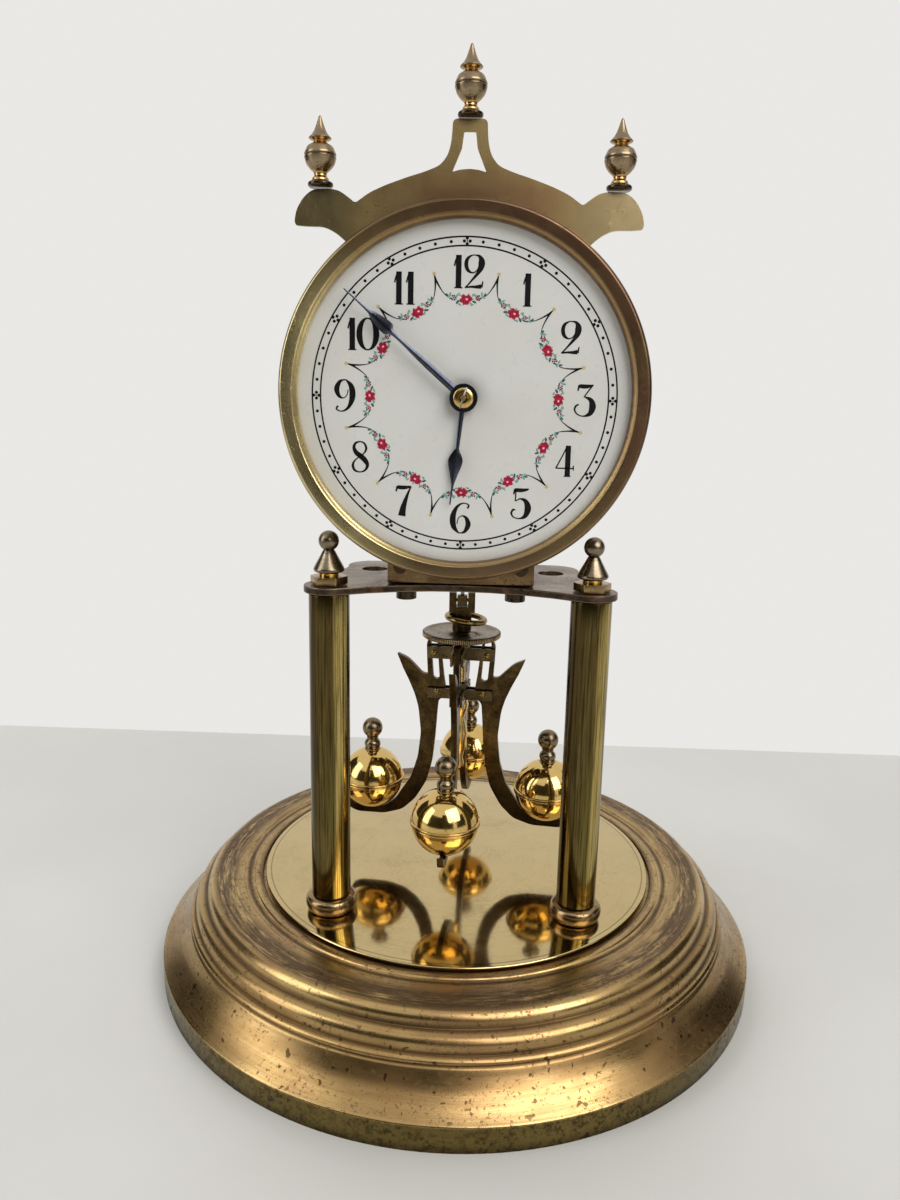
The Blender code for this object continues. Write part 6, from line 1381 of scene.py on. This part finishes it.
WELD = 0.002 * MM
SHARP_DEGREES = 34
BEVEL_DEGREES = 40


def edge_softener():
    """A modifier group that welds a solid and shades it smooth except along its sharp edges."""
    tree = bpy.data.node_groups.new("smooth_but_sharp_edges", "GeometryNodeTree")
    for way in ("INPUT", "OUTPUT"):
        tree.interface.new_socket("Geometry", in_out=way, socket_type="NodeSocketGeometry")
    group = Nodes(tree)
    solid = group.node("NodeGroupInput").outputs[0]
    welded = group.node("GeometryNodeMergeByDistance", {"Geometry": solid, "Distance": WELD}).outputs[0]
    smooth = group.node("GeometryNodeSetShadeSmooth", {"Geometry": welded}).outputs[0]
    angle = group.node("GeometryNodeInputMeshEdgeAngle").outputs[0]
    steep = {0: angle, 1: math.radians(SHARP_DEGREES)}
    sharp = group.node("FunctionNodeCompare", steep, operation="GREATER_THAN").outputs[0]
    edges = {"Geometry": smooth, "Selection": sharp, "Shade Smooth": False}
    edged = group.node("GeometryNodeSetShadeSmooth", edges, domain="EDGE").outputs[0]
    group.node("NodeGroupOutput", {0: edged})
    return tree


def dress(node, material, width, softener):
    """A solid kept from the model: its finish, smooth curves and softened edges, width in millimetres."""
    item = frame["nodes"][node]
    if not item.material_slots:
        item.data.materials.append(None)
    for place in item.material_slots:
        place.link = "OBJECT"
        place.material = material
    item.modifiers.new("smooth", "NODES").node_group = softener
    bevel = item.modifiers.new("soft_edges", "BEVEL")
    bevel.width = width * MM
    bevel.segments = 2
    bevel.limit_method = "ANGLE"
    bevel.angle_limit = math.radians(BEVEL_DEGREES)
    bevel.harden_normals = True
    bevel.use_clamp_overlap = True


def dress_kept():
    """Every solid that no piece stands for."""
    softener = edge_softener()
    for node in sorted(node for node, item in frame["nodes"].items() if not item.hide_render):
        name, width = KEPT.get(node, ("movement_brass", 0.05))
        dress(node, METAL[name], width, softener)


# Metal and softened edge in millimetres of the solids that stay; dress_kept has those of the others
KEPT = {
    "platform": ("platform_brass", 0.18), "seat_bracket": ("bracket_brass", 0.15),
    "seat_screw_left": ("screw_dark", 0.2), "seat_screw_right": ("screw_dark", 0.2),
    "pendulum_hook": ("stem_bronze", 0.15), "upper_cross": ("clip_bronze", 0.10),
    "lower_cross": ("clip_bronze", 0.10), "bottom_block": ("clip_bronze", 0.10),
    "top_block": ("movement_brass", 0.12), "fork": ("movement_brass", 0.10),
    "suspension_bracket": ("movement_brass", 0.15), "suspension_spring": ("steel", 0.02),
    "front_plate": ("movement_brass", 0.15), "back_plate": ("movement_brass", 0.15),
    "anchor": ("steel", 0.08), "click": ("steel", 0.10), "ratchet_wheel": ("steel", 0.06),
    "winding_arbor": ("steel", 0.08), "tie_rod_left": ("steel", 0.15), "tie_rod_right": ("steel", 0.15),
    "cannon_pinion": ("steel", 0.03), "mainspring": ("blued_steel", 0.04),
}

place_camera()
light_scene()
paint_world()
lay_floor()
hang_cards()
build_base()
for side in ("left", "right"):
    build_collar(side)
    build_pillar(side)
    build_pillar_finial(side)
build_bezel()
build_crest()
for label in ("centre", "left", "right"):
    build_crest_finial(label)
build_dial()
print_dial()
build_hand("hour_hand", HOUR_HAND_SHARES, length=28.3 * MM, bore=2.1 * MM, degrees=186.2)
build_hand("minute_hand", MINUTE_HAND_SHARES, length=41.2 * MM, bore=1.1 * MM, degrees=310.6)
build_hand_fixings()
for k, label in enumerate(("front", "right", "back", "left")):
    build_arm(label, arm_angle(k))
    build_ball(label, arm_angle(k))
    build_pin_heads(label, arm_angle(k))
build_bracket_screw("left", x=-17.2 * MM, degrees=35)
build_bracket_screw("right", x=17.2 * MM, degrees=-12)
build_rating_disc()
build_hook_ring()
dress_kept()

bpy.context.scene.view_settings.view_transform = "Standard"
